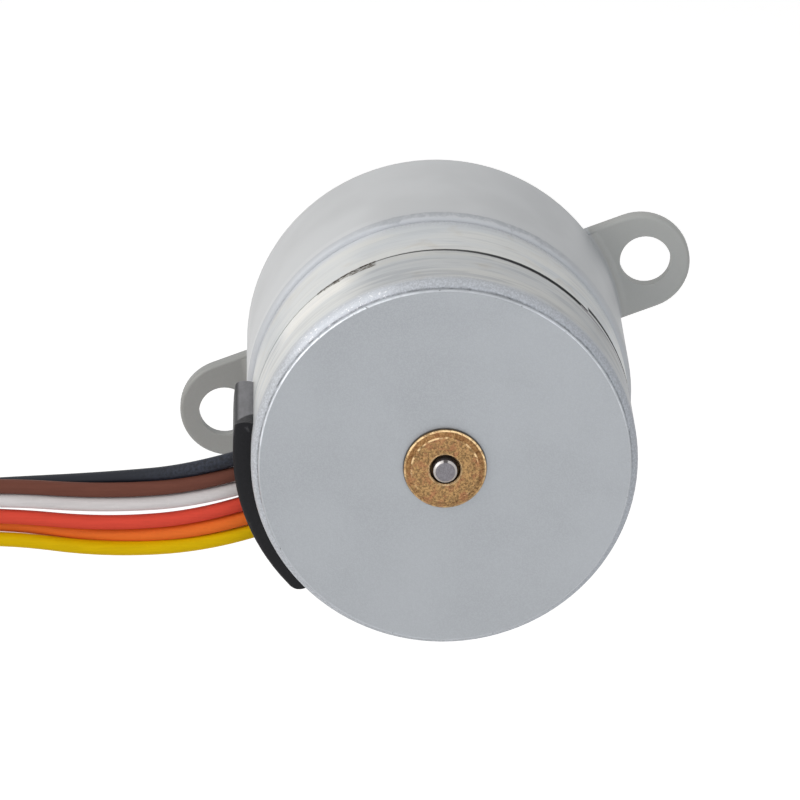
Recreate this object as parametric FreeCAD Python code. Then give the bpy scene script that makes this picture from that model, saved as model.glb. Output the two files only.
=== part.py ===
"""Geared tin-can stepper motor, 25 mm across, 1:30, with two ears and six leads.

The pieces are drawn in the motor's own frame: Z runs along the motor axis towards
the output shaft, X runs through the two ears, and the mounting face is at Z = 0.
standing() then turns each piece the way the motor is held: the axis along Y, the
output towards +Y, and the ear line tilted. The leads are drawn as they hang.
"""
import FreeCAD, Part
import math
import os

Vector = FreeCAD.Vector

# Body sizes in millimetres
BODY_DIAMETER = 25.0
CUP_STEP = 0.3
CUP_LENGTH = 6.2
CUP_CORNER = 0.6
SEAM_GAP = 0.2
SHEET = 0.8
END_PLATE_INSET = 0.45
END_PLATE_THICKNESS = 0.45
END_PLATE_EDGE = 0.12
HOUSING_LENGTH = 12.95
HOUSING_WALL = 1.0
HOUSING_FRONT_WALL = 1.4
HOUSING_FRONT_CORNER = 1.45
HOUSING_REAR_CORNER = 0.5

# Ears, with their hole pitch across the body
EAR_HOLE_PITCH = 30.0
EAR_HOLE_DIAMETER = 3.4
EAR_WIDTH = 6.6
EAR_TIP_WALL = 1.25
EAR_THICKNESS = 0.85
EAR_EDGE = 0.25
EAR_ROOT_FILLET = 0.6
EAR_TILT = 20.4

# Rotor and its shaft
SHAFT_DIAMETER = 1.5
SHAFT_END_CHAMFER = 0.15
SHAFT_PROUD = 0.4
MAGNET_SHARE = 0.48
MAGNET_WALL = 2.0
MAGNET_LENGTH = 10.0
HUB_WEB = 3.0
HUB_BOSS_DIAMETER = 3.6

# Claw-pole stator: two stacks, each with a cup and an inner yoke
CLAWS = 12
AIR_GAP = 0.2
CLAW_THICKNESS = 0.7
CLAW_BASE_WIDTH = 1.45
CLAW_TIP_WIDTH = 0.8
CLAW_TIP_GAP = 0.4
LOCATING_TAB_HALF_ANGLE = 25.5
LOCATING_TAB = 0.3
BOBBIN_WALL = 0.45
BOBBIN_FLANGE = 0.45
COIL_INSET = 0.85
COIL_CORNER = 0.3

# Bushes of the rotor
BUSH_WALL = 0.95
BUSH_FLANGE_DIAMETER = 5.2
BUSH_FLANGE = 0.45
BUSH_REACH = 1.0
BUSH_EDGE = 0.18
BUSH_BEVEL_WIDTH = 0.45
BUSH_BEVEL_DEPTH = 0.18
BUSH_MOUTH_DIAMETER = 1.95
BUSH_MOUTH_DEPTH = 0.7
BUSH_MOUTH_CHAMFER = 0.08
THRUST_WASHER_DIAMETER = 3.4
THRUST_WASHER = 0.35

# Terminals and their moulded cover
TERMINAL_CLOCK = 1.9
TERMINAL_BLOCK_WIDTH = 7.4
TERMINAL_BLOCK_THICKNESS = 1.6
TERMINAL_PIN_DIAMETER = 0.5
TERMINAL_PIN_PITCH = 2.2
TERMINAL_PIN_PROUD = 0.3
PINS_PER_STACK = 3
COVER_LENGTH = 7.8
COVER_THICKNESS = 1.15
COVER_WALL = 0.45
COVER_HALF_ANGLE = 28.0
COVER_TOP_ROUNDING = 1.2
COVER_TIP_ROUNDING = 4.0
COVER_EDGE = 0.25

# Gear train, from the motor pinion to the output gear
PRESSURE_ANGLE = math.radians(20.0)
FINE_MODULE_SHARE = 0.01
COARSE_MODULE_SHARE = 0.0112
MOTOR_PINION_TEETH = 10
FIRST_WHEEL_TEETH = 30
FIRST_PINION_TEETH = 12
SECOND_WHEEL_TEETH = 30
SECOND_PINION_TEETH = 10
OUTPUT_WHEEL_TEETH = 40
PROFILE_SHIFT = 0.35
ADDENDUM = 0.9
DEDENDUM = 1.25
BACKLASH = 0.08
FIRST_GEAR_CLOCK = math.radians(60.0)
FIRST_WHEEL_WIDTH = 1.6
SECOND_WHEEL_WIDTH = 1.7
OUTPUT_WHEEL_WIDTH = 2.4
LAYER_GAP = 0.4
GEAR_PIN_DIAMETER = 1.2
GEAR_HUB_WALL = 0.45
GEAR_PLATE_THICKNESS = 1.0
PIN_BOSS_WALL = 0.9

# Output shaft, its bush and its ring
OUTPUT_DIAMETER = 4.0
OUTPUT_LENGTH = 10.0
OUTPUT_FLAT_DEPTH = 0.5
OUTPUT_FLAT_LENGTH = 6.0
OUTPUT_CHAMFER = 0.3
OUTPUT_BUSH_WALL = 1.0
OUTPUT_BUSH_PROUD = 0.2
BOSS_DIAMETER = 8.0
BOSS_HEIGHT = 1.5
OUTPUT_HUB_DIAMETER = 7.0
OUTPUT_WEB = 1.2
OUTPUT_RIM_WALL = 0.56
RING_DIAMETER = 6.6
RING_THICKNESS = 0.5
RING_GROOVE_DEPTH = 0.35
RING_MOUTH = 0.8
OUTPUT_WASHER = 0.3

# Leads and their connector
LEAD_COLOURS = ("black", "brown", "white", "red", "orange", "yellow")
LEAD_DIAMETER = 0.95
LEAD_PITCH = 1.0
CONTACT_PITCH = 2.0
CONNECTOR_END_WALL = 1.6
CONNECTOR_DEPTH = 4.4
CONNECTOR_LENGTH = 7.6
LEAD_ENTRY_DEPTH = 3.0
CONTACT_WIDTH = 1.1
CONTACT_WALL = 0.2
LATCH_PROUD = 0.5
LATCH_LENGTH = 1.2
CONNECTOR_EDGE = 0.35
WINDOW_WIDTH = 0.9
WINDOW_LENGTH = 1.5
WINDOW_FROM_END = 1.8

# Clearances
RUNNING_FIT = 0.02
END_PLAY = 0.1
LOOSE_FIT = 0.1
LEAD_FIT = 0.05

# Centre line of the flat bundle of leads, as it hangs from the cover: across, up, the
# direction of the row from the last lead to the first, the pitch, and the depth by which
# every other lead lies further back
HANGING_BUNDLE = (
    (-21.5, -5.7, 94.0, 0.97, 0.25),
    (-28.5, -5.4, 90.0, 0.84, 0.50),
    (-35.2, -6.0, 107.0, 0.97, 0.25),
    (-40.6, -9.3, 136.0, 0.98, 0.10),
    (-44.0, -15.2, 163.0, 1.00, 0.00),
    (-45.2, -23.5, 176.0, 1.00, 0.00),
    (-45.0, -33.0, 181.0, 1.10, 0.00),
    (-44.4, -42.0, 181.0, 1.50, 0.00),
    (-44.6, -49.5, 180.0, CONTACT_PITCH, 0.00),
    (-44.6, -55.5, 180.0, CONTACT_PITCH, 0.00),
)
LEAD_STRAIGHT_OUT = 4.0
BEND_SHARE = 0.45

# Places along the axis, from the mounting face back to the rear
HOUSING_REAR = -HOUSING_LENGTH
SEAM = HOUSING_REAR - CUP_LENGTH
CUP_REAR = SEAM - CUP_LENGTH
REAR_FACE = CUP_REAR - END_PLATE_THICKNESS
FRONT_WALL_INSIDE = -HOUSING_FRONT_WALL
GEAR_PLATE_FRONT = HOUSING_REAR + GEAR_PLATE_THICKNESS
FIRST_WHEEL_REAR = GEAR_PLATE_FRONT + BUSH_FLANGE + LAYER_GAP / 2
SECOND_WHEEL_REAR = FIRST_WHEEL_REAR + FIRST_WHEEL_WIDTH + LAYER_GAP
OUTPUT_WHEEL_REAR = SECOND_WHEEL_REAR + SECOND_WHEEL_WIDTH + LAYER_GAP
OUTPUT_WHEEL_FRONT = OUTPUT_WHEEL_REAR + OUTPUT_WHEEL_WIDTH
OUTPUT_WASHER_REAR = OUTPUT_WHEEL_FRONT + END_PLAY
OUTPUT_BUSH_REAR = OUTPUT_WASHER_REAR + OUTPUT_WASHER
OUTPUT_BUSH_FRONT = BOSS_HEIGHT + OUTPUT_BUSH_PROUD
RING_REAR = OUTPUT_BUSH_FRONT + END_PLAY
MAGNET_REAR = SEAM - MAGNET_LENGTH / 2

# Radii
BODY_R = BODY_DIAMETER / 2
CUP_R = BODY_R - CUP_STEP
CUP_INNER_R = CUP_R - SHEET
HOUSING_INNER_R = BODY_R - HOUSING_WALL
SHAFT_R = SHAFT_DIAMETER / 2
MAGNET_R = BODY_R * MAGNET_SHARE
MAGNET_BORE_R = MAGNET_R - MAGNET_WALL
CLAW_INNER_R = MAGNET_R + AIR_GAP
CLAW_OUTER_R = CLAW_INNER_R + CLAW_THICKNESS
BOBBIN_INNER_R = CLAW_OUTER_R + LOOSE_FIT
COIL_INNER_R = BOBBIN_INNER_R + BOBBIN_WALL
BOBBIN_FLANGE_R = CUP_INNER_R - LOOSE_FIT
COIL_OUTER_R = BOBBIN_FLANGE_R - COIL_INSET
BUSH_R = SHAFT_R + RUNNING_FIT + BUSH_WALL
GEAR_PIN_R = GEAR_PIN_DIAMETER / 2
GEAR_BORE_R = GEAR_PIN_R + RUNNING_FIT
GEAR_HUB_R = GEAR_BORE_R + GEAR_HUB_WALL
OUTPUT_R = OUTPUT_DIAMETER / 2
OUTPUT_BUSH_R = OUTPUT_R + RUNNING_FIT + OUTPUT_BUSH_WALL
COVER_R = CUP_R + COVER_THICKNESS
TERMINAL_BLOCK_R = CUP_R - LOOSE_FIT
LEAD_R = LEAD_DIAMETER / 2

# Gear modules as shares of the body, so that the train fills the housing
FINE_MODULE = BODY_DIAMETER * FINE_MODULE_SHARE
COARSE_MODULE = BODY_DIAMETER * COARSE_MODULE_SHARE

# Gear centres: the first gear beside the motor axis, the second one where it meets the
# first gear's pinion and drives the output wheel, which is back on the motor axis
FIRST_CENTRES = FINE_MODULE * (MOTOR_PINION_TEETH + FIRST_WHEEL_TEETH) / 2
MIDDLE_CENTRES = FINE_MODULE * (FIRST_PINION_TEETH + SECOND_WHEEL_TEETH) / 2
LAST_CENTRES = COARSE_MODULE * (SECOND_PINION_TEETH + OUTPUT_WHEEL_TEETH) / 2
CENTRES_SQUARED = FIRST_CENTRES ** 2 + LAST_CENTRES ** 2 - MIDDLE_CENTRES ** 2
SECOND_GEAR_CLOCK = FIRST_GEAR_CLOCK + math.acos(CENTRES_SQUARED / (2 * FIRST_CENTRES * LAST_CENTRES))

AXIS = Vector(0, 0, 1)
CENTRE = Vector(0, 0, 0)


def polar(radius, angle, height=0.0):
    return Vector(radius * math.cos(angle), radius * math.sin(angle), height)


FIRST_GEAR_AT = polar(FIRST_CENTRES, FIRST_GEAR_CLOCK)
SECOND_GEAR_AT = polar(LAST_CENTRES, SECOND_GEAR_CLOCK)


# Drawing helpers

def line(start, end):
    return Part.LineSegment(start, end).toShape()


def arc(start, middle, end):
    return Part.Arc(start, middle, end).toShape()


def rounded_wire(corners):
    """A closed wire through corners given as (point, radius), rounded where a radius is given."""
    bends = []
    count = len(corners)
    for index, (point, radius) in enumerate(corners):
        if radius == 0:
            bends.append([point])
            continue
        before = (corners[index - 1][0] - point).normalize()
        after = (corners[(index + 1) % count][0] - point).normalize()
        half = before.getAngle(after) / 2
        reach = radius / math.tan(half)
        inward = (before + after).normalize()
        middle = point + inward * (radius / math.sin(half) - radius)
        bends.append([point + before * reach, middle, point + after * reach])
    edges = []
    for bend, following in zip(bends, bends[1:] + bends[:1]):
        if len(bend) > 1:
            edges.append(arc(*bend))
        edges.append(line(bend[-1], following[0]))
    return Part.Wire(edges)


def revolved(*corners):
    """A solid of revolution about the axis, from (radius, height) or (radius, height, rounding)."""
    points = [(Vector(c[0], 0, c[1]), c[2] if len(c) > 2 else 0.0) for c in corners]
    face = Part.Face(rounded_wire(points))
    solid = face.revolve(CENTRE, AXIS, 360)
    return Part.Solid(solid.Shells[0])


def rod(radius, start, end, at=CENTRE):
    return Part.makeCylinder(radius, end - start, Vector(at.x, at.y, start), AXIS)


def tube(outer, inner, start, end, at=CENTRE):
    return rod(outer, start, end, at).cut(rod(inner, start, end, at))


def block(low, high):
    size = high - low
    return Part.makeBox(size.x, size.y, size.z, low)


def turned(shape, degrees):
    copy = shape.copy()
    copy.rotate(CENTRE, AXIS, degrees)
    return copy


def around(shape, count, start=0.0):
    return [turned(shape, start + 360.0 * index / count) for index in range(count)]


def at_terminals(shape):
    """Turn a piece drawn on the +X side to the side where the terminals are."""
    return turned(shape, 180.0 + TERMINAL_CLOCK)


def to_front_stack(shape):
    """The front stack is the rear one mirrored in the seam between the cups."""
    return shape.mirror(Vector(0, 0, SEAM), AXIS)


def one_solid(shape):
    return shape.removeSplitter().Solids[0]


def standing(shape):
    """Turn a piece from the motor's own frame to the way the motor is held."""
    tilt = FreeCAD.Rotation(Vector(0, 1, 0), -EAR_TILT)
    lie_down = FreeCAD.Rotation(Vector(1, 0, 0), -90)
    placed = shape.copy()
    placed.Placement = FreeCAD.Placement(CENTRE, tilt.multiply(lie_down)).multiply(placed.Placement)
    return placed


# Claw-pole stator

def claws(base, tip, start):
    """Tapered claws that reach along the axis from base to tip, on a ring round the rotor."""
    out = 2 * CLAW_OUTER_R
    corners = [
        Vector(0, -CLAW_BASE_WIDTH / 2, base),
        Vector(0, CLAW_BASE_WIDTH / 2, base),
        Vector(0, CLAW_TIP_WIDTH / 2, tip),
        Vector(0, -CLAW_TIP_WIDTH / 2, tip),
    ]
    wedge = Part.Face(Part.makePolygon(corners + corners[:1])).extrude(Vector(out, 0, 0))
    ring = tube(CLAW_OUTER_R, CLAW_INNER_R, min(base, tip), max(base, tip))
    return around(wedge.common(ring), CLAWS, start)


def rim_sector(inner, rear, front):
    """A piece of the body's wall opposite the terminals, where the cup's rim is cut back."""
    half = math.radians(LOCATING_TAB_HALF_ANGLE)
    reach = 2 * CUP_R
    corners = [Vector(0, 0, rear), polar(reach, -half, rear), polar(reach, half, rear)]
    wedge = Part.Face(Part.makePolygon(corners + corners[:1])).extrude(Vector(0, 0, front - rear))
    return turned(wedge.common(tube(CUP_R, inner, rear, front)), TERMINAL_CLOCK)


def stator_cup(start):
    end_wall = CUP_REAR + SHEET
    rim = SEAM - SEAM_GAP / 2
    shell = revolved(
        (CLAW_INNER_R, CUP_REAR),
        (CUP_R, CUP_REAR, CUP_CORNER),
        (CUP_R, rim),
        (CUP_INNER_R, rim),
        (CUP_INNER_R, end_wall),
        (CLAW_INNER_R, end_wall),
    )
    tip = SEAM - SHEET - CLAW_TIP_GAP
    cup = shell.fuse(claws(CUP_REAR + SHEET / 2, tip, start))
    side = TERMINAL_BLOCK_WIDTH / 2 + LOOSE_FIT
    depth = SHEET + TERMINAL_BLOCK_THICKNESS + 2 * LOOSE_FIT
    notch = block(Vector(CUP_INNER_R - SHEET, -side, SEAM - depth), Vector(CUP_R + SHEET, side, SEAM))
    return one_solid(cup.cut(at_terminals(notch)))


def inner_yoke(start):
    outer = CUP_INNER_R
    disc = tube(outer, CLAW_INNER_R, SEAM - SHEET, SEAM)
    tip = CUP_REAR + SHEET + CLAW_TIP_GAP
    return one_solid(disc.fuse(claws(SEAM - SHEET / 2, tip, start + 180.0 / CLAWS)))


def locating_tab():
    """The rear inner yoke's rim reaches out between the cups, opposite the terminals."""
    return rim_sector(CUP_INNER_R - SHEET, SEAM - LOCATING_TAB, SEAM)


def rear_stator_cup():
    """The rear cup's rim is cut back round the inner yoke's locating tab."""
    return one_solid(stator_cup(0.0).cut(rim_sector(CUP_INNER_R, SEAM - LOCATING_TAB - LOOSE_FIT, SEAM)))


def rear_inner_yoke():
    return one_solid(inner_yoke(0.0).fuse(locating_tab()))


def terminal_pin_places():
    """Where the pins of the rear stack stand: across the terminal block, and along the axis."""
    middle = SEAM - SHEET - LOOSE_FIT - TERMINAL_BLOCK_THICKNESS / 2
    first = -TERMINAL_PIN_PITCH * (PINS_PER_STACK - 1) / 2
    return [(first + TERMINAL_PIN_PITCH * index, middle) for index in range(PINS_PER_STACK)]


def terminal_pin(across, height):
    length = CUP_R + TERMINAL_PIN_PROUD - COIL_OUTER_R
    foot = Vector(COIL_OUTER_R, across, height)
    pin = Part.makeCylinder(TERMINAL_PIN_DIAMETER / 2, length, foot, Vector(1, 0, 0))
    return at_terminals(pin)


def bobbin():
    rear = CUP_REAR + SHEET + LOOSE_FIT
    front = SEAM - SHEET - LOOSE_FIT
    spool = revolved(
        (BOBBIN_INNER_R, rear),
        (BOBBIN_FLANGE_R, rear),
        (BOBBIN_FLANGE_R, rear + BOBBIN_FLANGE),
        (COIL_INNER_R, rear + BOBBIN_FLANGE),
        (COIL_INNER_R, front - BOBBIN_FLANGE),
        (BOBBIN_FLANGE_R, front - BOBBIN_FLANGE),
        (BOBBIN_FLANGE_R, front),
        (BOBBIN_INNER_R, front),
    )
    side = TERMINAL_BLOCK_WIDTH / 2
    low = Vector(COIL_OUTER_R, -side, front - TERMINAL_BLOCK_THICKNESS)
    terminal_block = block(low, Vector(TERMINAL_BLOCK_R, side, front))
    terminal_block = terminal_block.common(rod(TERMINAL_BLOCK_R, low.z, front))
    terminal_block = terminal_block.cut(rod(COIL_OUTER_R, low.z, front))
    holes = [terminal_pin(across, height) for across, height in terminal_pin_places()]
    return one_solid(spool.fuse(at_terminals(terminal_block)).cut(holes))


def coil():
    rear = CUP_REAR + SHEET + LOOSE_FIT + BOBBIN_FLANGE
    front = SEAM - SHEET - LOOSE_FIT - BOBBIN_FLANGE
    return revolved(
        (COIL_INNER_R, rear),
        (COIL_OUTER_R, rear, COIL_CORNER),
        (COIL_OUTER_R, front, COIL_CORNER),
        (COIL_INNER_R, front),
    )


def terminal_pins():
    rear = [terminal_pin(across, height) for across, height in terminal_pin_places()]
    return Part.makeCompound(rear + [to_front_stack(pin) for pin in rear])


def wire_cover():
    """A moulded shell that hugs both cups, hollow over the terminals, with a slot for the leads."""
    half = math.radians(COVER_HALF_ANGLE)
    top = half - math.radians(COVER_TOP_ROUNDING)
    tip = half - math.radians(COVER_TIP_ROUNDING)
    rear = SEAM - COVER_LENGTH / 2
    front = SEAM + COVER_LENGTH / 2

    def rounded_end(side, shoulder):
        bend_r = CUP_R + COVER_THICKNESS * math.sin(math.pi / 4)
        bend = polar(bend_r, side * (shoulder + (half - shoulder) * math.sin(math.pi / 4)), rear)
        return arc(polar(CUP_R, side * half, rear), bend, polar(COVER_R, side * shoulder, rear))

    inner = arc(polar(CUP_R, -half, rear), polar(CUP_R, 0, rear), polar(CUP_R, half, rear))
    outer = arc(polar(COVER_R, top, rear), polar(COVER_R, 0, rear), polar(COVER_R, -tip, rear))
    outline = Part.Wire([inner, rounded_end(1, top), outer, rounded_end(-1, tip)])
    shell = Part.Face(outline).extrude(Vector(0, 0, COVER_LENGTH))
    middle_r = (CUP_R + COVER_R) / 2
    rim = []
    for edge in shell.Edges:
        if all(math.hypot(vertex.X, vertex.Y) > middle_r for vertex in edge.Vertexes):
            rim.append(edge)
    shell = shell.makeFillet(COVER_EDGE, rim)
    side = TERMINAL_BLOCK_WIDTH / 2 + LOOSE_FIT
    pocket = block(Vector(0, -side, rear + COVER_WALL), Vector(2 * COVER_R, side, front - COVER_WALL))
    pocket = pocket.common(rod(COVER_R - COVER_WALL, rear, front))
    slot_half = LEAD_R + LEAD_FIT
    row = LEAD_PITCH * (len(LEAD_COLOURS) - 1) / 2
    slot = block(Vector(0, -row, SEAM - slot_half), Vector(2 * COVER_R, row, SEAM + slot_half))
    outward = Vector(1, 0, 0)
    slot = slot.fuse([
        Part.makeCylinder(slot_half, 2 * COVER_R, Vector(0, -row, SEAM), outward),
        Part.makeCylinder(slot_half, 2 * COVER_R, Vector(0, row, SEAM), outward),
    ])
    return at_terminals(one_solid(shell.cut([pocket, slot])))


# Motor ends

def rear_end_plate():
    outer = CUP_R - END_PLATE_INSET
    return revolved(
        (BUSH_R, REAR_FACE),
        (outer, REAR_FACE, END_PLATE_EDGE),
        (outer, CUP_REAR),
        (BUSH_R, CUP_REAR),
    )


def rear_bush():
    bore = SHAFT_R + RUNNING_FIT
    flange = BUSH_FLANGE_DIAMETER / 2
    mouth = BUSH_MOUTH_DIAMETER / 2
    back = REAR_FACE - BUSH_FLANGE
    return revolved(
        (bore, back + BUSH_MOUTH_DEPTH),
        (mouth, back + BUSH_MOUTH_DEPTH),
        (mouth, back + BUSH_MOUTH_CHAMFER),
        (mouth + BUSH_MOUTH_CHAMFER, back),
        (flange - BUSH_BEVEL_WIDTH, back),
        (flange, back + BUSH_BEVEL_DEPTH),
        (flange, REAR_FACE),
        (BUSH_R, REAR_FACE),
        (BUSH_R, CUP_REAR + BUSH_REACH),
        (bore, CUP_REAR + BUSH_REACH),
    )


def gear_plate():
    """The motor's front plate, which closes the housing's mouth and holds the gear pins."""
    plate = tube(HOUSING_INNER_R, BUSH_R, HOUSING_REAR, GEAR_PLATE_FRONT)
    holes = [
        rod(GEAR_PIN_R, HOUSING_REAR, GEAR_PLATE_FRONT, FIRST_GEAR_AT),
        rod(GEAR_PIN_R, HOUSING_REAR, GEAR_PLATE_FRONT, SECOND_GEAR_AT),
    ]
    return one_solid(plate.cut(holes))


def front_bush():
    bore = SHAFT_R + RUNNING_FIT
    flange = BUSH_FLANGE_DIAMETER / 2
    return revolved(
        (bore, HOUSING_REAR - BUSH_REACH),
        (BUSH_R, HOUSING_REAR - BUSH_REACH),
        (BUSH_R, GEAR_PLATE_FRONT),
        (flange, GEAR_PLATE_FRONT),
        (flange, GEAR_PLATE_FRONT + BUSH_FLANGE, BUSH_EDGE),
        (bore, GEAR_PLATE_FRONT + BUSH_FLANGE),
    )


# Rotor

def rotor_magnet():
    return tube(MAGNET_R, MAGNET_BORE_R, MAGNET_REAR, MAGNET_REAR + MAGNET_LENGTH)


def hub_reach():
    """The hub's boss reaches each way from the seam to just short of the thrust washer."""
    bush_end = CUP_REAR + BUSH_REACH
    return SEAM - (bush_end + THRUST_WASHER + END_PLAY)


def rotor_hub():
    outer = MAGNET_BORE_R
    boss = HUB_BOSS_DIAMETER / 2
    web = HUB_WEB / 2
    reach = hub_reach()
    return revolved(
        (SHAFT_R, SEAM - reach),
        (boss, SEAM - reach),
        (boss, SEAM - web),
        (outer, SEAM - web),
        (outer, SEAM + web),
        (boss, SEAM + web),
        (boss, SEAM + reach),
        (SHAFT_R, SEAM + reach),
    )


def thrust_washer(start):
    return tube(THRUST_WASHER_DIAMETER / 2, SHAFT_R + LOOSE_FIT, start, start + THRUST_WASHER)


def rear_thrust_washer():
    return thrust_washer(CUP_REAR + BUSH_REACH)


def front_thrust_washer():
    return thrust_washer(HOUSING_REAR - BUSH_REACH - THRUST_WASHER)


def rotor_shaft():
    rear = REAR_FACE - BUSH_FLANGE - SHAFT_PROUD
    front = FIRST_WHEEL_REAR + FIRST_WHEEL_WIDTH
    return revolved(
        (0, rear),
        (SHAFT_R - SHAFT_END_CHAMFER, rear),
        (SHAFT_R, rear + SHAFT_END_CHAMFER),
        (SHAFT_R, front - SHAFT_END_CHAMFER),
        (SHAFT_R - SHAFT_END_CHAMFER, front),
        (0, front),
    )


# Gears

def involute(angle):
    return math.tan(angle) - angle


def toothed(teeth, module, shift, rear, width, at, towards, gap):
    """An involute spur gear, with a tooth, or a gap between teeth, that points towards a place."""
    pitch_r = teeth * module / 2
    base_r = pitch_r * math.cos(PRESSURE_ANGLE)
    tip_r = pitch_r + module * (ADDENDUM + shift)
    root_r = pitch_r - module * (DEDENDUM - shift)
    flank_r = max(base_r, root_r)
    thickness = module * (math.pi / 2 + 2 * shift * math.tan(PRESSURE_ANGLE)) - BACKLASH / 2
    facing = math.atan2(towards.y - at.y, towards.x - at.x)
    step = 2 * math.pi / teeth
    first = facing + step / 2 if gap else facing

    def half_angle(radius):
        lean = math.acos(min(1.0, base_r / radius))
        return thickness / (2 * pitch_r) + involute(PRESSURE_ANGLE) - involute(lean)

    flank = [(r, half_angle(r)) for r in (flank_r, (flank_r + tip_r) / 2, tip_r)]
    edges = []
    for index in range(teeth):
        middle = first + index * step
        rising = [polar(r, middle - half) for r, half in flank]
        falling = [polar(r, middle + half) for r, half in reversed(flank)]
        foot_half = flank[0][1]
        if root_r < flank_r:
            edges.append(line(polar(root_r, middle - foot_half), rising[0]))
        edges.append(arc(*rising))
        edges.append(arc(rising[2], polar(tip_r, middle), falling[0]))
        edges.append(arc(*falling))
        if root_r < flank_r:
            edges.append(line(falling[2], polar(root_r, middle + foot_half)))
        root_ends = (middle + foot_half, middle + step / 2, middle + step - foot_half)
        edges.append(arc(*[polar(root_r, angle) for angle in root_ends]))
    gear = Part.Face(Part.Wire(edges)).extrude(Vector(0, 0, width))
    gear.translate(Vector(at.x, at.y, rear))
    return gear


def motor_pinion():
    rear = GEAR_PLATE_FRONT + BUSH_FLANGE + END_PLAY
    width = FIRST_WHEEL_REAR + FIRST_WHEEL_WIDTH - rear
    gear = toothed(MOTOR_PINION_TEETH, FINE_MODULE, PROFILE_SHIFT, rear, width, CENTRE, FIRST_GEAR_AT, False)
    return one_solid(gear.cut(rod(SHAFT_R, rear, rear + width)))


def first_gear():
    """Wheel and pinion in one moulding, turning on a pin that stands on the gear plate."""
    rear = GEAR_PLATE_FRONT + END_PLAY
    front = SECOND_WHEEL_REAR + SECOND_WHEEL_WIDTH
    wheel = toothed(
        FIRST_WHEEL_TEETH, FINE_MODULE, -PROFILE_SHIFT, FIRST_WHEEL_REAR, FIRST_WHEEL_WIDTH,
        FIRST_GEAR_AT, CENTRE, True)
    pinion_rear = FIRST_WHEEL_REAR + FIRST_WHEEL_WIDTH / 2
    pinion = toothed(
        FIRST_PINION_TEETH, FINE_MODULE, PROFILE_SHIFT, pinion_rear, front - pinion_rear,
        FIRST_GEAR_AT, SECOND_GEAR_AT, False)
    hub = rod(GEAR_HUB_R, rear, FIRST_WHEEL_REAR + FIRST_WHEEL_WIDTH / 2, FIRST_GEAR_AT)
    bore = rod(GEAR_BORE_R, rear, front, FIRST_GEAR_AT)
    return one_solid(wheel.fuse([pinion, hub]).cut(bore))


def second_gear():
    """Wheel and pinion in one moulding, turning on a pin between the gear plate and the housing."""
    rear = GEAR_PLATE_FRONT + END_PLAY
    front = OUTPUT_WHEEL_FRONT
    wheel = toothed(
        SECOND_WHEEL_TEETH, FINE_MODULE, -PROFILE_SHIFT, SECOND_WHEEL_REAR, SECOND_WHEEL_WIDTH,
        SECOND_GEAR_AT, FIRST_GEAR_AT, True)
    pinion_rear = SECOND_WHEEL_REAR + SECOND_WHEEL_WIDTH / 2
    pinion = toothed(
        SECOND_PINION_TEETH, COARSE_MODULE, PROFILE_SHIFT, pinion_rear, front - pinion_rear,
        SECOND_GEAR_AT, CENTRE, False)
    hub = rod(GEAR_HUB_R, rear, pinion_rear, SECOND_GEAR_AT)
    bore = rod(GEAR_BORE_R, rear, front, SECOND_GEAR_AT)
    return one_solid(wheel.fuse([pinion, hub]).cut(bore))


def output_gear():
    """The output wheel, dished on both sides between its hub and its toothed rim."""
    wheel = toothed(
        OUTPUT_WHEEL_TEETH, COARSE_MODULE, -PROFILE_SHIFT, OUTPUT_WHEEL_REAR, OUTPUT_WHEEL_WIDTH,
        CENTRE, SECOND_GEAR_AT, True)
    root_r = COARSE_MODULE * (OUTPUT_WHEEL_TEETH / 2 - DEDENDUM - PROFILE_SHIFT)
    rim_r = root_r - OUTPUT_RIM_WALL
    dish = (OUTPUT_WHEEL_WIDTH - OUTPUT_WEB) / 2
    dishes = [
        tube(rim_r, OUTPUT_HUB_DIAMETER / 2, OUTPUT_WHEEL_REAR, OUTPUT_WHEEL_REAR + dish),
        tube(rim_r, OUTPUT_HUB_DIAMETER / 2, OUTPUT_WHEEL_FRONT - dish, OUTPUT_WHEEL_FRONT),
    ]
    bore = rod(OUTPUT_R, OUTPUT_WHEEL_REAR, OUTPUT_WHEEL_FRONT)
    return one_solid(wheel.cut(dishes + [bore]))


def first_gear_pin():
    return rod(GEAR_PIN_R, HOUSING_REAR, SECOND_WHEEL_REAR + SECOND_WHEEL_WIDTH, FIRST_GEAR_AT)


def second_gear_pin():
    return rod(GEAR_PIN_R, HOUSING_REAR, FRONT_WALL_INSIDE, SECOND_GEAR_AT)


# Output side

def output_shaft():
    """A round shaft with a ring groove, and a flat that starts at an edge round the shaft."""
    groove_r = OUTPUT_R - RING_GROOVE_DEPTH
    groove_end = RING_REAR + RING_THICKNESS
    flat_start = OUTPUT_LENGTH - OUTPUT_FLAT_LENGTH
    shaft = revolved(
        (0, OUTPUT_WHEEL_REAR),
        (OUTPUT_R, OUTPUT_WHEEL_REAR),
        (OUTPUT_R, RING_REAR),
        (groove_r, RING_REAR),
        (groove_r, groove_end),
        (OUTPUT_R, groove_end),
        (OUTPUT_R, flat_start),
        (OUTPUT_R, OUTPUT_LENGTH - OUTPUT_CHAMFER),
        (OUTPUT_R - OUTPUT_CHAMFER, OUTPUT_LENGTH),
        (0, OUTPUT_LENGTH),
    )
    flat_low = Vector(OUTPUT_R - OUTPUT_FLAT_DEPTH, -OUTPUT_R, flat_start)
    flat = block(flat_low, Vector(2 * OUTPUT_R, OUTPUT_R, OUTPUT_LENGTH + OUTPUT_R))
    return shaft.cut(flat).Solids[0]


def output_bush():
    bore = OUTPUT_R + RUNNING_FIT
    return revolved(
        (bore, OUTPUT_BUSH_REAR),
        (OUTPUT_BUSH_R, OUTPUT_BUSH_REAR),
        (OUTPUT_BUSH_R, OUTPUT_BUSH_FRONT, BUSH_EDGE),
        (bore, OUTPUT_BUSH_FRONT),
    )


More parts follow.
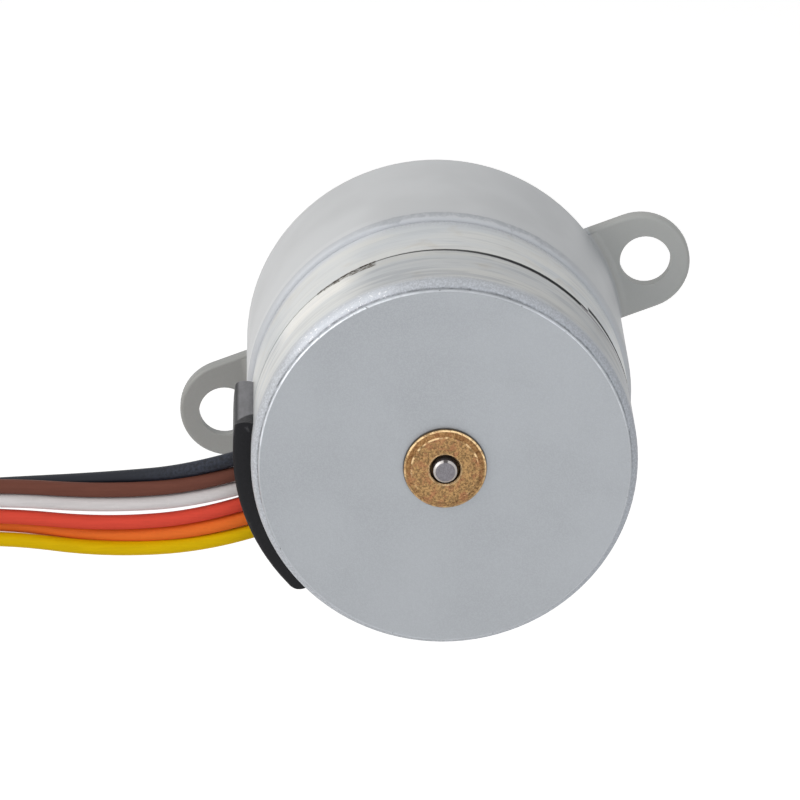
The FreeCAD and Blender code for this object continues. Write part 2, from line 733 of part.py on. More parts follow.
def output_washer():
    return tube(OUTPUT_BUSH_R, OUTPUT_R + LOOSE_FIT, OUTPUT_WASHER_REAR, OUTPUT_WASHER_REAR + OUTPUT_WASHER)


def retaining_ring():
    """A spring ring with an open mouth, snapped into the output shaft's groove."""
    end = RING_REAR + RING_THICKNESS
    ring = tube(RING_DIAMETER / 2, OUTPUT_R - RING_GROOVE_DEPTH, RING_REAR, end)
    mouth = block(Vector(0, -RING_MOUTH, RING_REAR), Vector(RING_DIAMETER, RING_MOUTH, end))
    return one_solid(ring.cut(mouth))


def ear_outline(height, inset=0.0):
    """Both ears in one outline, with parallel sides and a round tip just past each hole."""
    half = EAR_WIDTH / 2 - inset
    tip = EAR_HOLE_PITCH / 2 + EAR_HOLE_DIAMETER / 2 + EAR_TIP_WALL - inset
    shoulder = tip - half
    right_low = Vector(shoulder, -half, height)
    right_high = Vector(shoulder, half, height)
    left_low = Vector(-shoulder, -half, height)
    left_high = Vector(-shoulder, half, height)
    edges = [
        line(left_low, right_low),
        arc(right_low, Vector(tip, 0, height), right_high),
        line(right_high, left_high),
        arc(left_high, Vector(-tip, 0, height), left_low),
    ]
    return Part.Face(Part.Wire(edges))


def gearbox_housing():
    """A cast cup with the two ears at its output end, a locating boss and bosses for bush and pin."""
    cup = revolved(
        (HOUSING_INNER_R, HOUSING_REAR),
        (BODY_R, HOUSING_REAR, HOUSING_REAR_CORNER),
        (BODY_R, 0, HOUSING_FRONT_CORNER),
        (0, 0),
        (0, FRONT_WALL_INSIDE),
        (HOUSING_INNER_R, FRONT_WALL_INSIDE),
    )
    ears = ear_outline(-EAR_THICKNESS).extrude(Vector(0, 0, EAR_THICKNESS))
    back_edges = [edge for edge in ears.Edges if edge.BoundBox.ZMax < -EAR_THICKNESS / 2]
    ears = ears.makeFillet(EAR_EDGE, back_edges)
    fillet_end = -EAR_THICKNESS - EAR_ROOT_FILLET
    fillet_r = BODY_R + EAR_ROOT_FILLET
    fillet_root_r = BODY_R - HOUSING_WALL / 2
    bend = EAR_ROOT_FILLET * (1 - math.sin(math.pi / 4))
    on_wall = Vector(BODY_R, 0, fillet_end)
    on_ear = Vector(fillet_r, 0, -EAR_THICKNESS)
    root = Part.Wire([
        line(on_wall, Vector(fillet_root_r, 0, fillet_end)),
        line(Vector(fillet_root_r, 0, fillet_end), Vector(fillet_root_r, 0, -EAR_THICKNESS)),
        line(Vector(fillet_root_r, 0, -EAR_THICKNESS), on_ear),
        arc(on_ear, Vector(BODY_R + bend, 0, -EAR_THICKNESS - bend), on_wall),
    ])
    fillets = Part.Solid(Part.Face(root).revolve(CENTRE, AXIS, 360).Shells[0])
    fillets = fillets.common(ear_outline(fillet_end, EAR_EDGE).extrude(Vector(0, 0, EAR_ROOT_FILLET)))
    pin_boss_end = OUTPUT_WHEEL_FRONT + END_PLAY
    additions = [
        ears,
        fillets,
        rod(BOSS_DIAMETER / 2, OUTPUT_BUSH_REAR, BOSS_HEIGHT),
        rod(GEAR_PIN_R + PIN_BOSS_WALL, pin_boss_end, FRONT_WALL_INSIDE, SECOND_GEAR_AT),
    ]
    hole_r = EAR_HOLE_DIAMETER / 2
    holes = [
        rod(OUTPUT_BUSH_R, OUTPUT_BUSH_REAR, BOSS_HEIGHT),
        rod(GEAR_PIN_R, pin_boss_end, FRONT_WALL_INSIDE, SECOND_GEAR_AT),
        rod(hole_r, -EAR_THICKNESS, 0, Vector(EAR_HOLE_PITCH / 2, 0, 0)),
        rod(hole_r, -EAR_THICKNESS, 0, Vector(-EAR_HOLE_PITCH / 2, 0, 0)),
    ]
    return one_solid(cup.fuse(additions).cut(holes))


# Leads and connector, drawn as they hang

def lead_route(index):
    """The points of one lead: straight out of the cover, then along the hanging bundle."""
    rank = (len(LEAD_COLOURS) - 1) / 2 - index
    out = math.radians(180.0 + EAR_TILT - TERMINAL_CLOCK)
    row = out - math.pi / 2
    points = []
    for radius in (CUP_R - LEAD_R, CUP_R - LEAD_R + LEAD_STRAIGHT_OUT):
        across = radius * math.cos(out) + rank * LEAD_PITCH * math.cos(row)
        up = radius * math.sin(out) + rank * LEAD_PITCH * math.sin(row)
        points.append(Vector(across, SEAM, up))
    for across, up, direction, pitch, depth in HANGING_BUNDLE:
        side = math.radians(direction)
        back = depth if index % 2 == 0 else 0.0
        place = Vector(across, SEAM + back, up)
        points.append(place + Vector(math.cos(side), 0, math.sin(side)) * (rank * pitch))
    return points


def lead(index):
    """A plain tube along straight runs, joined by arcs as wide as the runs allow."""
    points = lead_route(index)
    edges = []
    radii = []
    start = points[0]
    for before, corner, after in zip(points, points[1:], points[2:]):
        back = (before - corner).normalize()
        ahead = (after - corner).normalize()
        reach = BEND_SHARE * min((before - corner).Length, (after - corner).Length)
        half_turn = (math.pi - back.getAngle(ahead)) / 2
        radius = reach / math.tan(half_turn)
        inward = (back + ahead).normalize()
        middle = corner + inward * (radius / math.cos(half_turn) - radius)
        edges.append(line(start, corner + back * reach))
        edges.append(arc(corner + back * reach, middle, corner + ahead * reach))
        start = corner + ahead * reach
        radii.append(radius)
    edges.append(line(start, points[-1]))
    path = Part.Wire(edges)
    section = Part.Wire([Part.makeCircle(LEAD_R, points[0], points[1] - points[0])])
    solid = path.makePipeShell([section], True, False)
    solid = Part.Solid(solid.Shells[0])
    share = solid.Volume / (math.pi * LEAD_R ** 2 * path.Length)
    print(LEAD_COLOURS[index], "lead", round(path.Length, 1), "mm, tightest radius", round(min(radii), 1),
          "mm, volume over section times length", round(share, 4))
    return solid


def connector_places():
    """The middle of each way in the connector, where its lead goes in."""
    return [lead_route(index)[-1] for index in range(len(LEAD_COLOURS))]


def connector_housing():
    """A box with a way for each lead, a latch bar, and a window over each contact."""
    places = connector_places()
    left = min(place.x for place in places) - CONNECTOR_END_WALL
    right = max(place.x for place in places) + CONNECTOR_END_WALL
    top = places[0].z + LEAD_ENTRY_DEPTH
    bottom = top - CONNECTOR_LENGTH
    rear = SEAM - CONNECTOR_DEPTH / 2
    front = SEAM + CONNECTOR_DEPTH / 2
    body = block(Vector(left, rear, bottom), Vector(right, front, top))
    upright = [edge for edge in body.Edges if edge.BoundBox.ZLength > CONNECTOR_LENGTH / 2]
    body = body.makeFillet(CONNECTOR_EDGE, upright)
    inset = CONNECTOR_END_WALL
    latch = block(
        Vector(left + inset, rear - LATCH_PROUD, top - 2 * LATCH_LENGTH),
        Vector(right - inset, rear, top - LATCH_LENGTH))
    cavity = CONTACT_WIDTH / 2 + LEAD_FIT
    cuts = []
    for place in places:
        cuts.append(Part.makeCylinder(LEAD_R + LEAD_FIT, LEAD_ENTRY_DEPTH, place, Vector(0, 0, 1)))
        low = Vector(place.x - cavity, place.y - cavity, bottom)
        cuts.append(block(low, Vector(place.x + cavity, place.y + cavity, place.z)))
        side = WINDOW_WIDTH / 2
        low = Vector(place.x - side, rear, bottom + WINDOW_FROM_END)
        cuts.append(block(low, Vector(place.x + side, place.y, low.z + WINDOW_LENGTH)))
    return one_solid(body.fuse(latch).cut(cuts))


def connector_contacts():
    """Open box contacts, one under each lead."""
    contacts = []
    half = CONTACT_WIDTH / 2
    for place in connector_places():
        bottom = place.z + LEAD_ENTRY_DEPTH - CONNECTOR_LENGTH + CONTACT_WALL
        low = Vector(place.x - half, place.y - half, bottom)
        shell = block(low, Vector(place.x + half, place.y + half, place.z))
        inside = half - CONTACT_WALL
        mouth = block(
            Vector(place.x - inside, place.y - inside, bottom),
            Vector(place.x + inside, place.y + inside, place.z - CONTACT_WIDTH))
        contacts.append(shell.cut(mouth).Solids[0])
    return Part.makeCompound(contacts)


def motor_pieces():
    quarter_pitch = 90.0 / CLAWS
    return {
        "rear_end_plate": rear_end_plate(),
        "rear_bush": rear_bush(),
        "rear_stator_cup": rear_stator_cup(),
        "rear_inner_yoke": rear_inner_yoke(),
        "rear_bobbin": bobbin(),
        "rear_coil": coil(),
        "front_stator_cup": to_front_stack(stator_cup(quarter_pitch)),
        "front_inner_yoke": to_front_stack(inner_yoke(quarter_pitch)),
        "front_bobbin": to_front_stack(bobbin()),
        "front_coil": to_front_stack(coil()),
        "terminal_pins": terminal_pins(),
        "wire_cover": wire_cover(),
        "rotor_shaft": rotor_shaft(),
        "rotor_magnet": rotor_magnet(),
        "rotor_hub": rotor_hub(),
        "rear_thrust_washer": rear_thrust_washer(),
        "front_thrust_washer": front_thrust_washer(),
        "gear_plate": gear_plate(),
        "front_bush": front_bush(),
        "motor_pinion": motor_pinion(),
        "first_gear": first_gear(),
        "first_gear_pin": first_gear_pin(),
        "second_gear": second_gear(),
        "second_gear_pin": second_gear_pin(),
        "output_gear": output_gear(),
        "output_shaft": output_shaft(),
        "output_bush": output_bush(),
        "output_washer": output_washer(),
        "retaining_ring": retaining_ring(),
        "gearbox_housing": gearbox_housing(),
    }


def hanging_pieces():
    pieces = {"lead_" + colour: lead(index) for index, colour in enumerate(LEAD_COLOURS)}
    pieces["connector_housing"] = connector_housing()
    pieces["connector_contacts"] = connector_contacts()
    return pieces


def main():
    os.makedirs("parts", exist_ok=True)
    pieces = {name: standing(shape) for name, shape in motor_pieces().items()}
    pieces.update(hanging_pieces())
    for name, shape in pieces.items():
        shape.exportStep(os.path.join("parts", name + ".step"))


main()
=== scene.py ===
"""Finishes, leads and studio stage of a geared stepper motor seen from its rear end."""
import math
from functools import cached_property

import bpy
from bpy.props import FloatProperty, FloatVectorProperty, PointerProperty
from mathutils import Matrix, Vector


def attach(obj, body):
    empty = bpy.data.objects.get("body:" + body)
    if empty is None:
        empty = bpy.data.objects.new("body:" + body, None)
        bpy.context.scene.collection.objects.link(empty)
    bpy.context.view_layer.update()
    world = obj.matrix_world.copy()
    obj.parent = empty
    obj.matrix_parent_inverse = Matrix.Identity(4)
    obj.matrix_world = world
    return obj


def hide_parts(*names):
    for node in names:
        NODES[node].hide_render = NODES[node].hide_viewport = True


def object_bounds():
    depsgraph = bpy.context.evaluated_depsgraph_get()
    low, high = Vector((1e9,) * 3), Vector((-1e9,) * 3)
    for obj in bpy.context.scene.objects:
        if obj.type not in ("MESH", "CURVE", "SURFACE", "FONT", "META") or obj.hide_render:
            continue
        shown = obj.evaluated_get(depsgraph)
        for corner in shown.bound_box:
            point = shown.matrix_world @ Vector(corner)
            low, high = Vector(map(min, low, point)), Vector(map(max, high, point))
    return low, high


bl_info = {
    "name": "Geared stepper motor",
    "version": (1, 0, 0),
    "blender": (4, 5, 0),
    "location": "View3D > Sidebar > Stepper motor",
    "description": "Dresses the geared stepper motor and sets up its studio stage",
    "category": "Object",
}

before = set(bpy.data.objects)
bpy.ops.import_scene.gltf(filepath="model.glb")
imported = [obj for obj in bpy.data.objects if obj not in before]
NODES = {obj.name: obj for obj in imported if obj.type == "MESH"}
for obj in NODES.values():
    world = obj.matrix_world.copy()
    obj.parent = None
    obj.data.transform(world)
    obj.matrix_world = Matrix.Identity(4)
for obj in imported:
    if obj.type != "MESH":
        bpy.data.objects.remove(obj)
CAD_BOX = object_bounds()
MM = 0.001

# Places along the motor axis in millimetres, towards the output
SHAFT_END = -26.65
REAR_FACE = -25.8
CUP_REAR = -25.35
SEAM = -19.15
HOUSING_REAR = -12.95
EAR_BACK = -0.85
COVER_REAR = SEAM - 3.9

# Radii round the motor axis in millimetres
BUSH_MOUTH = 0.975
BUSH_BEVEL = 2.15
BUSH_RADIUS = 2.6
PLATE_RADIUS = 11.75
HOUSING_RADIUS = 12.5
COVER_RADIUS = 13.35

# The cups' locating tab: the turns of its two ends, and how far the seam jumps forward along it
TAB_TURN = 40.8
TAB_LOWER_TURN = -10.2
TAB_DEPTH = 0.76
# Half the width of the seam's gap where it opens, and along the tab where it closes
SEAM_HALF_WIDTHS = (0.10, 0.36)
TAB_HALF_WIDTHS = (0.35, 0.06)

# Stretches round the motor axis in degrees: 0 at the right, 90 at the top, 180 at the left
# RIM_LEFT and RIM_RIGHT place the painted glints on the end plate's rim
RIM_LEFT = (112, 165)
RIM_RIGHT = (18, 60)
# Painted highlight on the cups' upper left
CUPS_BRIGHT = (124, 140)
CUP_SCRATCH = (74, 99)
# Painted highlights on the cups' corners
CORNERS_BRIGHT = (113, 135)
# Painted gleam behind the seam
SEAM_GLEAM = (124, 141)
SEAM_SMEAR = (110.8, 130.0)
# Painted shade of a ragged line at the housing's step
STEP_GROOVE_SHADE = (62, 108)
# Painted highlights and painted shade at the housing's left
HOUSING_LEFT = (118, 172)
# Painted shade on the housing beside the ears
RIGHT_EAR = (8, 36)
LEFT_EAR = (188, 216)
# Stretch where the rotor shaft's painted bright chamfer is darker
CHAMFER_DARKER = (80, 97)
# Painted highlight on the wire cover's upper end
COVER_END = (160, 170.9)
COVER_RUBBED = (160, 172.5)
# Turns in degrees over which something grows to its full strength
# Painted shade on the rear cup's right side grows over the next three
RIGHT_RISES = (-85, -15)
SOFT_SHADE_SPREADS = (128, 104)
RIGHT_DARKENS = (56, 28)
# Painted highlight at the step between the front cup and the housing grows over this
STEP_BRIGHTENS = (72, 125)
SEAM_BEGINS = (116, 108)
SEAM_OPENS = (112, 44)
SEAM_DARKENS = (102, 62)
SMEAR_WIDENS = (131, 114)
TAB_GAP_CLOSES = (18, TAB_LOWER_TURN)
# Places across in millimetres, over which the left ear darkens with painted shade and the leads grow paler
# to the cover with dust and a painted sheen
LEFT_EAR_DARKENS = (-10, -12)
LEADS_PALER = (-21, -15)

# Colours laid over a finish; the warm gleam, the sparkle and the bright chamfer are painted highlights
WARM_GLEAM = (0.97, 0.955, 0.905)
SPARKLE = (0.95, 0.96, 0.98)
RUBBED_BRONZE = (0.92, 0.66, 0.36)
BRIGHT_CHAMFER = (0.52, 0.5, 0.49)
DARK_CHAMFER = (0.1, 0.09, 0.09)
# Colours that darken a finish: the two waves are the zinc's own tone, the others are painted shade
REAR_WAVES = (0.79, 0.80, 0.825)
FRONT_WAVES = (0.89, 0.895, 0.905)
SOFT_SHADE_ZINC = (0.78, 0.775, 0.77)
SHADED_ZINC = (0.74, 0.75, 0.77)
EAR_SHADE = (0.85, 0.86, 0.87)
# Stretch of the marks that turning leaves: close together along the axis, long round it
TURNING_MARKS = (3.0, 14.0, 3.0)

# The leads in their order down the row, and how the row leaves the cover, in millimetres
LEADS = ("black", "brown", "white", "red", "orange", "yellow")
LEAD_OUT = math.radians(198.5)
LEAD_START = 11.725
LEAD_STRAIGHT = 4.0
EXIT_PITCH = 1.0
# The bundle as it hangs: across, up, direction of the row in degrees, pitch, and depth of every other lead
BUNDLE = (
    (-21.5, -5.7, 94.0, 0.97, 0.25),
    (-28.5, -5.4, 90.0, 0.84, 0.50),
    (-35.2, -6.0, 107.0, 0.97, 0.25),
    (-40.6, -9.3, 136.0, 0.98, 0.10),
    (-44.0, -15.2, 163.0, 1.00, 0.00),
    (-45.2, -23.5, 176.0, 1.00, 0.00),
    (-45.0, -33.0, 181.0, 1.10, 0.00),
    (-44.4, -42.0, 181.0, 1.50, 0.00),
    (-44.6, -49.5, 180.0, 2.00, 0.00),
    (-44.6, -55.5, 180.0, 2.00, 0.00),
)
# How far each lead lies higher and deeper than its place in the row, from the end of its straight exit on
LEAD_SHIFTS = {
    "black": ((-0.05, 0.15), (-0.18, 0.65), (-0.60, 0.75), (-0.40, 0.40)),
    "brown": ((0.0, 0.0), (0.28, 0.0), (0.70, 0.0), (0.80, 0.0)),
    "white": ((0.0, 0.0), (0.26, -0.25), (0.60, -0.50), (0.80, -0.25)),
    "red": ((-0.2, 0.0), (-0.05, 0.0), (0.35, 0.0), (0.80, 0.0)),
    "orange": ((-0.18, 0.0), (-0.08, 0.15), (0.42, 0.30), (0.80, 0.15)),
    "yellow": ((-0.17, 0.0), (0.08, 0.0), (0.52, 0.0), (0.85, 0.0)),
}

# The stage: each lamp's place and width in metres and its tint, the floor, and the rays that show white
LAMPS = {
    "key": ((-0.40, -0.20, 0.26), 0.30, (1.0, 0.975, 0.94)),
    "fill": ((0.10, -0.45, 0.10), 0.35, (0.92, 0.96, 1.0)),
    "top": ((0.02, 0.08, 0.48), 0.40, (1.0, 1.0, 1.0)),
}
WHITE = (1.0, 1.0, 1.0)
BLACK = (0.0, 0.0, 0.0)
FLOOR_COLOUR = (0.86, 0.86, 0.86)
FLOOR_GLOW = (0.5, 0.5, 0.5)
FLOOR_GAP = 0.4 * MM
SHOWING_RAYS = ("Is Camera Ray", "Is Glossy Ray", "Is Transmission Ray")


def shade(red, green, blue):
    """A colour as the eye sees it, in 0 to 255, turned into light."""
    linear = []
    for part in (red, green, blue):
        part = part / 255
        linear.append(part / 12.92 if part <= 0.04045 else ((part + 0.055) / 1.055) ** 2.4)
    return tuple(linear)


def scaled(colour, *factors):
    """A colour made lighter or darker, by one factor or by one for each of its three parts."""
    if len(factors) == 1:
        factors = factors * 3
    return tuple(min(1.0, part * factor) for part, factor in zip(colour, factors))


def colour_setting(name, description, *seen):
    """A colour that can be set, given as the eye sees it."""
    return FloatVectorProperty(
        name=name, description=description, default=shade(*seen), subtype="COLOR", min=0.0, max=1.0)


class MetalColours(bpy.types.PropertyGroup):
    """Colours of the metal pieces."""

    plate: colour_setting("End plate", "Plated steel of the rear end plate", 157, 160, 164)
    zinc: colour_setting("Zinc", "Bright zinc on the drawn stator cups", 210, 211, 209)
    zinc_bands: colour_setting("Zinc bands", "Cool bands in the zinc", 199, 203, 206)
    zinc_corner: colour_setting("Zinc corners", "Granular zinc on the cups' rounded ends", 178, 182, 189)
    stain: colour_setting("Stains", "Faint brown stains in the zinc", 186, 177, 162)
    dirt: colour_setting("Dirt", "Grease and dirt along the seam", 74, 66, 56)
    casting: colour_setting("Casting", "Tumbled zinc casting of the gearbox", 197, 199, 201)
    ear: colour_setting("Ears", "Plain cast faces of the ears", 168, 169, 167)
    bronze: colour_setting("Bronze", "Sintered bronze of the bushes", 168, 132, 86)
    steel: colour_setting("Steel", "Ground steel of the rotor shaft and the gear pins", 176, 172, 178)
    output: colour_setting("Output shaft", "Ground steel of the output shaft", 186, 187, 189)
    ring: colour_setting("Retaining ring", "Blackened spring steel of the ring", 70, 70, 74)
    brass: colour_setting("Brass", "Brass of the motor pinion", 214, 178, 96)
    copper: colour_setting("Copper", "Enamelled copper of the windings", 196, 98, 52)
    pin: colour_setting("Terminal pins", "Tinned wire of the terminal pins", 206, 204, 198)
    contact: colour_setting("Contacts", "Tinned contacts in the connector", 196, 194, 188)


class PlasticColours(bpy.types.PropertyGroup):
    """Colours of the magnet, the mouldings and the insulation."""

    magnet: colour_setting("Magnet", "Sintered ferrite of the rotor magnet", 64, 62, 62)
    hub: colour_setting("Hub", "Black moulding that carries the magnet", 97, 97, 101)
    washer: colour_setting("Washers", "Slippery plastic of the washers", 218, 215, 203)
    # This grey is the painted highlight on the cover's upper end, and the colour of the rubbed marks along
    # its edges
    scuff_and_highlight: colour_setting("Scuffed cover", "Scuffed upper end of the wire cover", 112, 112, 115)
    cover: colour_setting("Wire cover", "Black moulding over the terminals", 24, 24, 27)
    bobbin: colour_setting("Bobbins", "Moulding under the windings", 231, 230, 223)
    gear: colour_setting("Gears", "Moulded gears inside the gearbox", 232, 229, 220)
    connector: colour_setting("Connector", "Moulded connector at the leads' end", 236, 234, 226)
    black: colour_setting("Black lead", "Insulation of the black lead", 25, 28, 36)
    brown: colour_setting("Brown lead", "Insulation of the brown lead", 110, 68, 57)
    white: colour_setting("White lead", "Insulation of the white lead", 213, 208, 208)
    red: colour_setting("Red lead", "Insulation of the red lead", 218, 77, 60)
    orange: colour_setting("Orange lead", "Insulation of the orange lead", 231, 113, 46)
    yellow: colour_setting("Yellow lead", "Insulation of the yellow lead", 216, 178, 4)


class LeadSizes(bpy.types.PropertyGroup):
    """Sizes of the leads."""

    diameter: FloatProperty(
        name="Lead diameter", description="Diameter over the insulation", default=0.95 * MM, min=0.5 * MM,
        max=1.5 * MM, unit="LENGTH")


class StageSettings(bpy.types.PropertyGroup):
    """Camera, floor and lamps."""

    lens: FloatProperty(
        name="Lens", description="Focal length of the camera in millimetres", default=262.9, min=50,
        max=600)
    distance: FloatProperty(
        name="Camera distance", description="From the camera to the middle of the view", default=0.3654,
        min=0.1, max=2.0, unit="LENGTH")
    azimuth: FloatProperty(
        name="Azimuth", description="Direction of the camera round the motor", default=math.radians(-1.25),
        subtype="ANGLE", unit="ROTATION")
    elevation: FloatProperty(
        name="Elevation", description="Height of the camera over the horizon", default=math.radians(19.9),
        subtype="ANGLE", unit="ROTATION")
    target: FloatVectorProperty(
        name="Target", description="Point in the middle of the view",
        default=(-2.827 * MM, REAR_FACE * MM, 4.528 * MM), subtype="TRANSLATION", unit="LENGTH")
    floor: FloatProperty(
        name="Floor size", description="Side of the floor", default=4.0, min=1.0, max=20.0, unit="LENGTH")
    key: FloatProperty(
        name="Key lamp", description="Power of the warm lamp at the upper left", default=1.25, min=0.0,
        max=20.0, unit="POWER")
    fill: FloatProperty(
        name="Fill lamp", description="Power of the cool lamp in front", default=0.45, min=0.0,
        max=20.0, unit="POWER")
    top: FloatProperty(
        name="Top lamp", description="Power of the lamp overhead", default=0.3, min=0.0, max=20.0,
        unit="POWER")
    ambient: FloatProperty(
        name="Ambient", description="Light from all round on matte surfaces", default=0.38, min=0.0,
        max=1.0)


class Flow:
    """A socket's output, with arithmetic that adds Math nodes."""

    def __init__(self, nodes, socket):
        self.nodes = nodes
        self.socket = socket

    def calc(self, operation, *values):
        return self.nodes.node("ShaderNodeMath", {"operation": operation}, dict(enumerate(values)))

    def __add__(self, other):
        return self.calc("ADD", self, other)

    def __radd__(self, other):
        return self.calc("ADD", other, self)

    def __sub__(self, other):
        return self.calc("SUBTRACT", self, other)

    def __rsub__(self, other):
        return self.calc("SUBTRACT", other, self)

    def __mul__(self, other):
        return self.calc("MULTIPLY", self, other)

    def __rmul__(self, other):
        return self.calc("MULTIPLY", other, self)

    def either(self, other):
        """The larger of the two."""
        return self.calc("MAXIMUM", self, other)


class Nodes:
    """Adds nodes to one tree."""

    def __init__(self, tree):
        self.tree = tree

    def node(self, kind, settings=None, inputs=None, output=0):
        made = self.tree.nodes.new(kind)
        for name, value in (settings or {}).items():
            setattr(made, name, value)
        for key, value in (inputs or {}).items():
            self.feed(made.inputs[key], value)
        return Flow(self, made.outputs[output])

    def feed(self, socket, value):
        """Link a flow to a socket, or set the socket to a constant."""
        if isinstance(value, Flow):
            self.tree.links.new(value.socket, socket)
        elif socket.type == "RGBA":
            socket.default_value = (*value[:3], 1.0)
        else:
            socket.default_value = value

    def mix(self, factor, first, second, blend="MIX"):
        """A colour between two colours, by the Mix node's sockets for colours."""
        settings = {"data_type": "RGBA", "blend_type": blend}
        return self.node("ShaderNodeMix", settings, {0: factor, 6: first, 7: second}, output=2)


class Finish(Nodes):
    """A procedural material on a Principled surface, measured in millimetres of the motor's frame.

    Its base colour is built up in coats, and complete() feeds it to the surface.
    """

    def __init__(self, name, metallic=0.0, roughness=0.5, **constants):
        self.material = bpy.data.materials.new(name)
        self.material.use_nodes = True
        super().__init__(self.material.node_tree)
        self.surface = self.tree.nodes["Principled BSDF"]
        self.set(Metallic=metallic, Roughness=roughness, **constants)
        position = self.node("ShaderNodeTexCoord", output="Object")
        self.place = self.vector("SCALE", {0: position, "Scale": 1 / MM})
        parts = self.node("ShaderNodeSeparateXYZ", inputs={0: self.place}).socket.node
        self.across, self.along, self.up = (Flow(self, part) for part in parts.outputs)
        self.base = None

    def set(self, **sockets):
        """Feed the surface's sockets, with underscores in place of the spaces in their names."""
        for key, value in sockets.items():
            self.feed(self.surface.inputs[key.replace("_", " ")], value)

    def vector(self, operation, inputs, output=0):
        return self.node("ShaderNodeVectorMath", {"operation": operation}, inputs, output)

    @cached_property
    def radius(self):
        """Distance from the motor axis."""
        flat = self.vector("MULTIPLY", {0: self.place, 1: (1, 0, 1)})
        return self.vector("LENGTH", {0: flat}, output="Value")

    @cached_property
    def angle(self):
        """Turn round the motor axis in degrees, from -90 at the bottom through 0 at the right."""
        return 90 - self.up.calc("ARCTAN2", self.across, self.up) * math.degrees(1)

    def noise(self, scale=1.0, detail=3.0, roughness=0.5, distortion=0.0, stretch=None):
        """Clouds or grain, with that many waves to a millimetre, or stretched along the axes."""
        where = self.vector("MULTIPLY", {0: self.place, 1: stretch}) if stretch else self.place
        return self.node("ShaderNodeTexNoise", inputs={
            "Vector": where, "Scale": scale, "Detail": detail, "Roughness": roughness,
            "Distortion": distortion})

    def ramp(self, value, low, high, start=0.0, end=1.0):
        """From start to end, smoothly, as the value goes from low to high."""
        return self.node(
            "ShaderNodeMapRange", {"interpolation_type": "SMOOTHSTEP"},
            {0: value, 1: low, 2: high, 3: start, 4: end})

    def inside(self, value, low, high, soft):
        """One between low and high, falling off to nothing over soft."""
        rise = self.ramp(value, low - soft, low)
        fall = self.ramp(value, high, high + soft, 1.0, 0.0)
        return rise * fall

    def around(self, stretch, soft):
        """One along a stretch round the motor axis, falling off over soft degrees."""
        return self.inside(self.angle, *stretch, soft)

    def growing(self, turns, start=0.0, end=1.0):
        """From start to end over turns round the motor axis."""
        return self.ramp(self.angle, *turns, start, end)

    def band(self, middle, half, soft=0.03):
        """One within half a width of a place along the axis."""
        away = self.along - middle
        return self.ramp(away.calc("ABSOLUTE", away) - half, soft, -soft)

    def vary(self, value, low, high, colour, darker, lighter):
        """A colour that goes from darker to lighter as the value goes from low to high."""
        return self.mix(self.ramp(value, low, high), scaled(colour, darker), scaled(colour, lighter))

    def coat(self, factor, colour):
        """Lay a colour over the base colour."""
        self.base = self.mix(factor, self.base, colour)

    def darken(self, factor, colour):
        """Multiply the base colour by a colour."""
        self.base = self.mix(factor, self.base, colour, "MULTIPLY")

    def bump(self, height, depth, under=None):
        """Relief of that depth in millimetres."""
        inputs = {"Strength": 1.0, "Distance": depth * MM, "Height": height}
        if under is not None:
            inputs["Normal"] = under
        return self.node("ShaderNodeBump", inputs=inputs)

    def complete(self, roughness, relief, **sockets):
        """Feed the surface and give the material."""
        self.set(Base_Color=self.base, Roughness=roughness, Normal=relief, **sockets)
        return self.material


def plated_plate(colours):
    """Plated sheet with a very fine grain, a burred cut rim with painted glints along it at the left and
    the right, painted shade on its side wall, and a dark line of painted shade round the bush.
    """
    finish = Finish("end_plate_steel", metallic=0.75)
    plate = colours.plate
    grain = finish.noise(13.0, detail=2.0)
    cloud = finish.noise(0.22)
    burrs = finish.noise(1.3, roughness=0.7)
    nicks = finish.noise(3.2, detail=2.0)
    finish.base = finish.vary(cloud, 0.3, 0.7, plate, 0.97, 1.04)
    finish.coat(finish.ramp(grain, 0.35, 0.7, 0.0, 0.5), scaled(plate, 1.2))
    rim = finish.ramp(finish.radius, PLATE_RADIUS - 0.13, PLATE_RADIUS - 0.08)
    # Painted glints: the rim's edge is lit brighter over its left and right stretches
    lit = finish.around(RIM_LEFT, 22) + finish.around(RIM_RIGHT, 10) * 0.55
    burr_and_glint = rim * finish.ramp(burrs, 0.35, 0.6, 0.5, 0.9) * (lit * 0.75 + 0.25)
    finish.coat(burr_and_glint, scaled(plate, 2.2))
    finish.coat(rim * finish.ramp(nicks, 0.68, 0.74, 0.0, 0.8), scaled(plate, 0.2))
    # Painted shade on the plate's side wall, next to the cup
    wall = finish.ramp(finish.radius, PLATE_RADIUS - 0.05, PLATE_RADIUS - 0.02)
    wall = wall * finish.ramp(finish.along, REAR_FACE + 0.18, REAR_FACE + 0.3)
    finish.coat(wall * finish.ramp(burrs, 0.4, 0.62, 0.1, 0.5), scaled(plate, 0.15))
    # Painted shade round the bush, stronger above it
    crevice = finish.ramp(finish.radius, BUSH_RADIUS + 0.08, BUSH_RADIUS + 0.02)
    crevice = crevice * finish.ramp(finish.up, -2.4, -0.8, 0.2, 0.75)
    finish.coat(crevice, scaled(plate, 0.1))
    relief = finish.bump(grain, 0.006, finish.bump(rim * burrs, 0.04))
    return finish.complete(0.42 + grain * 0.16, relief)


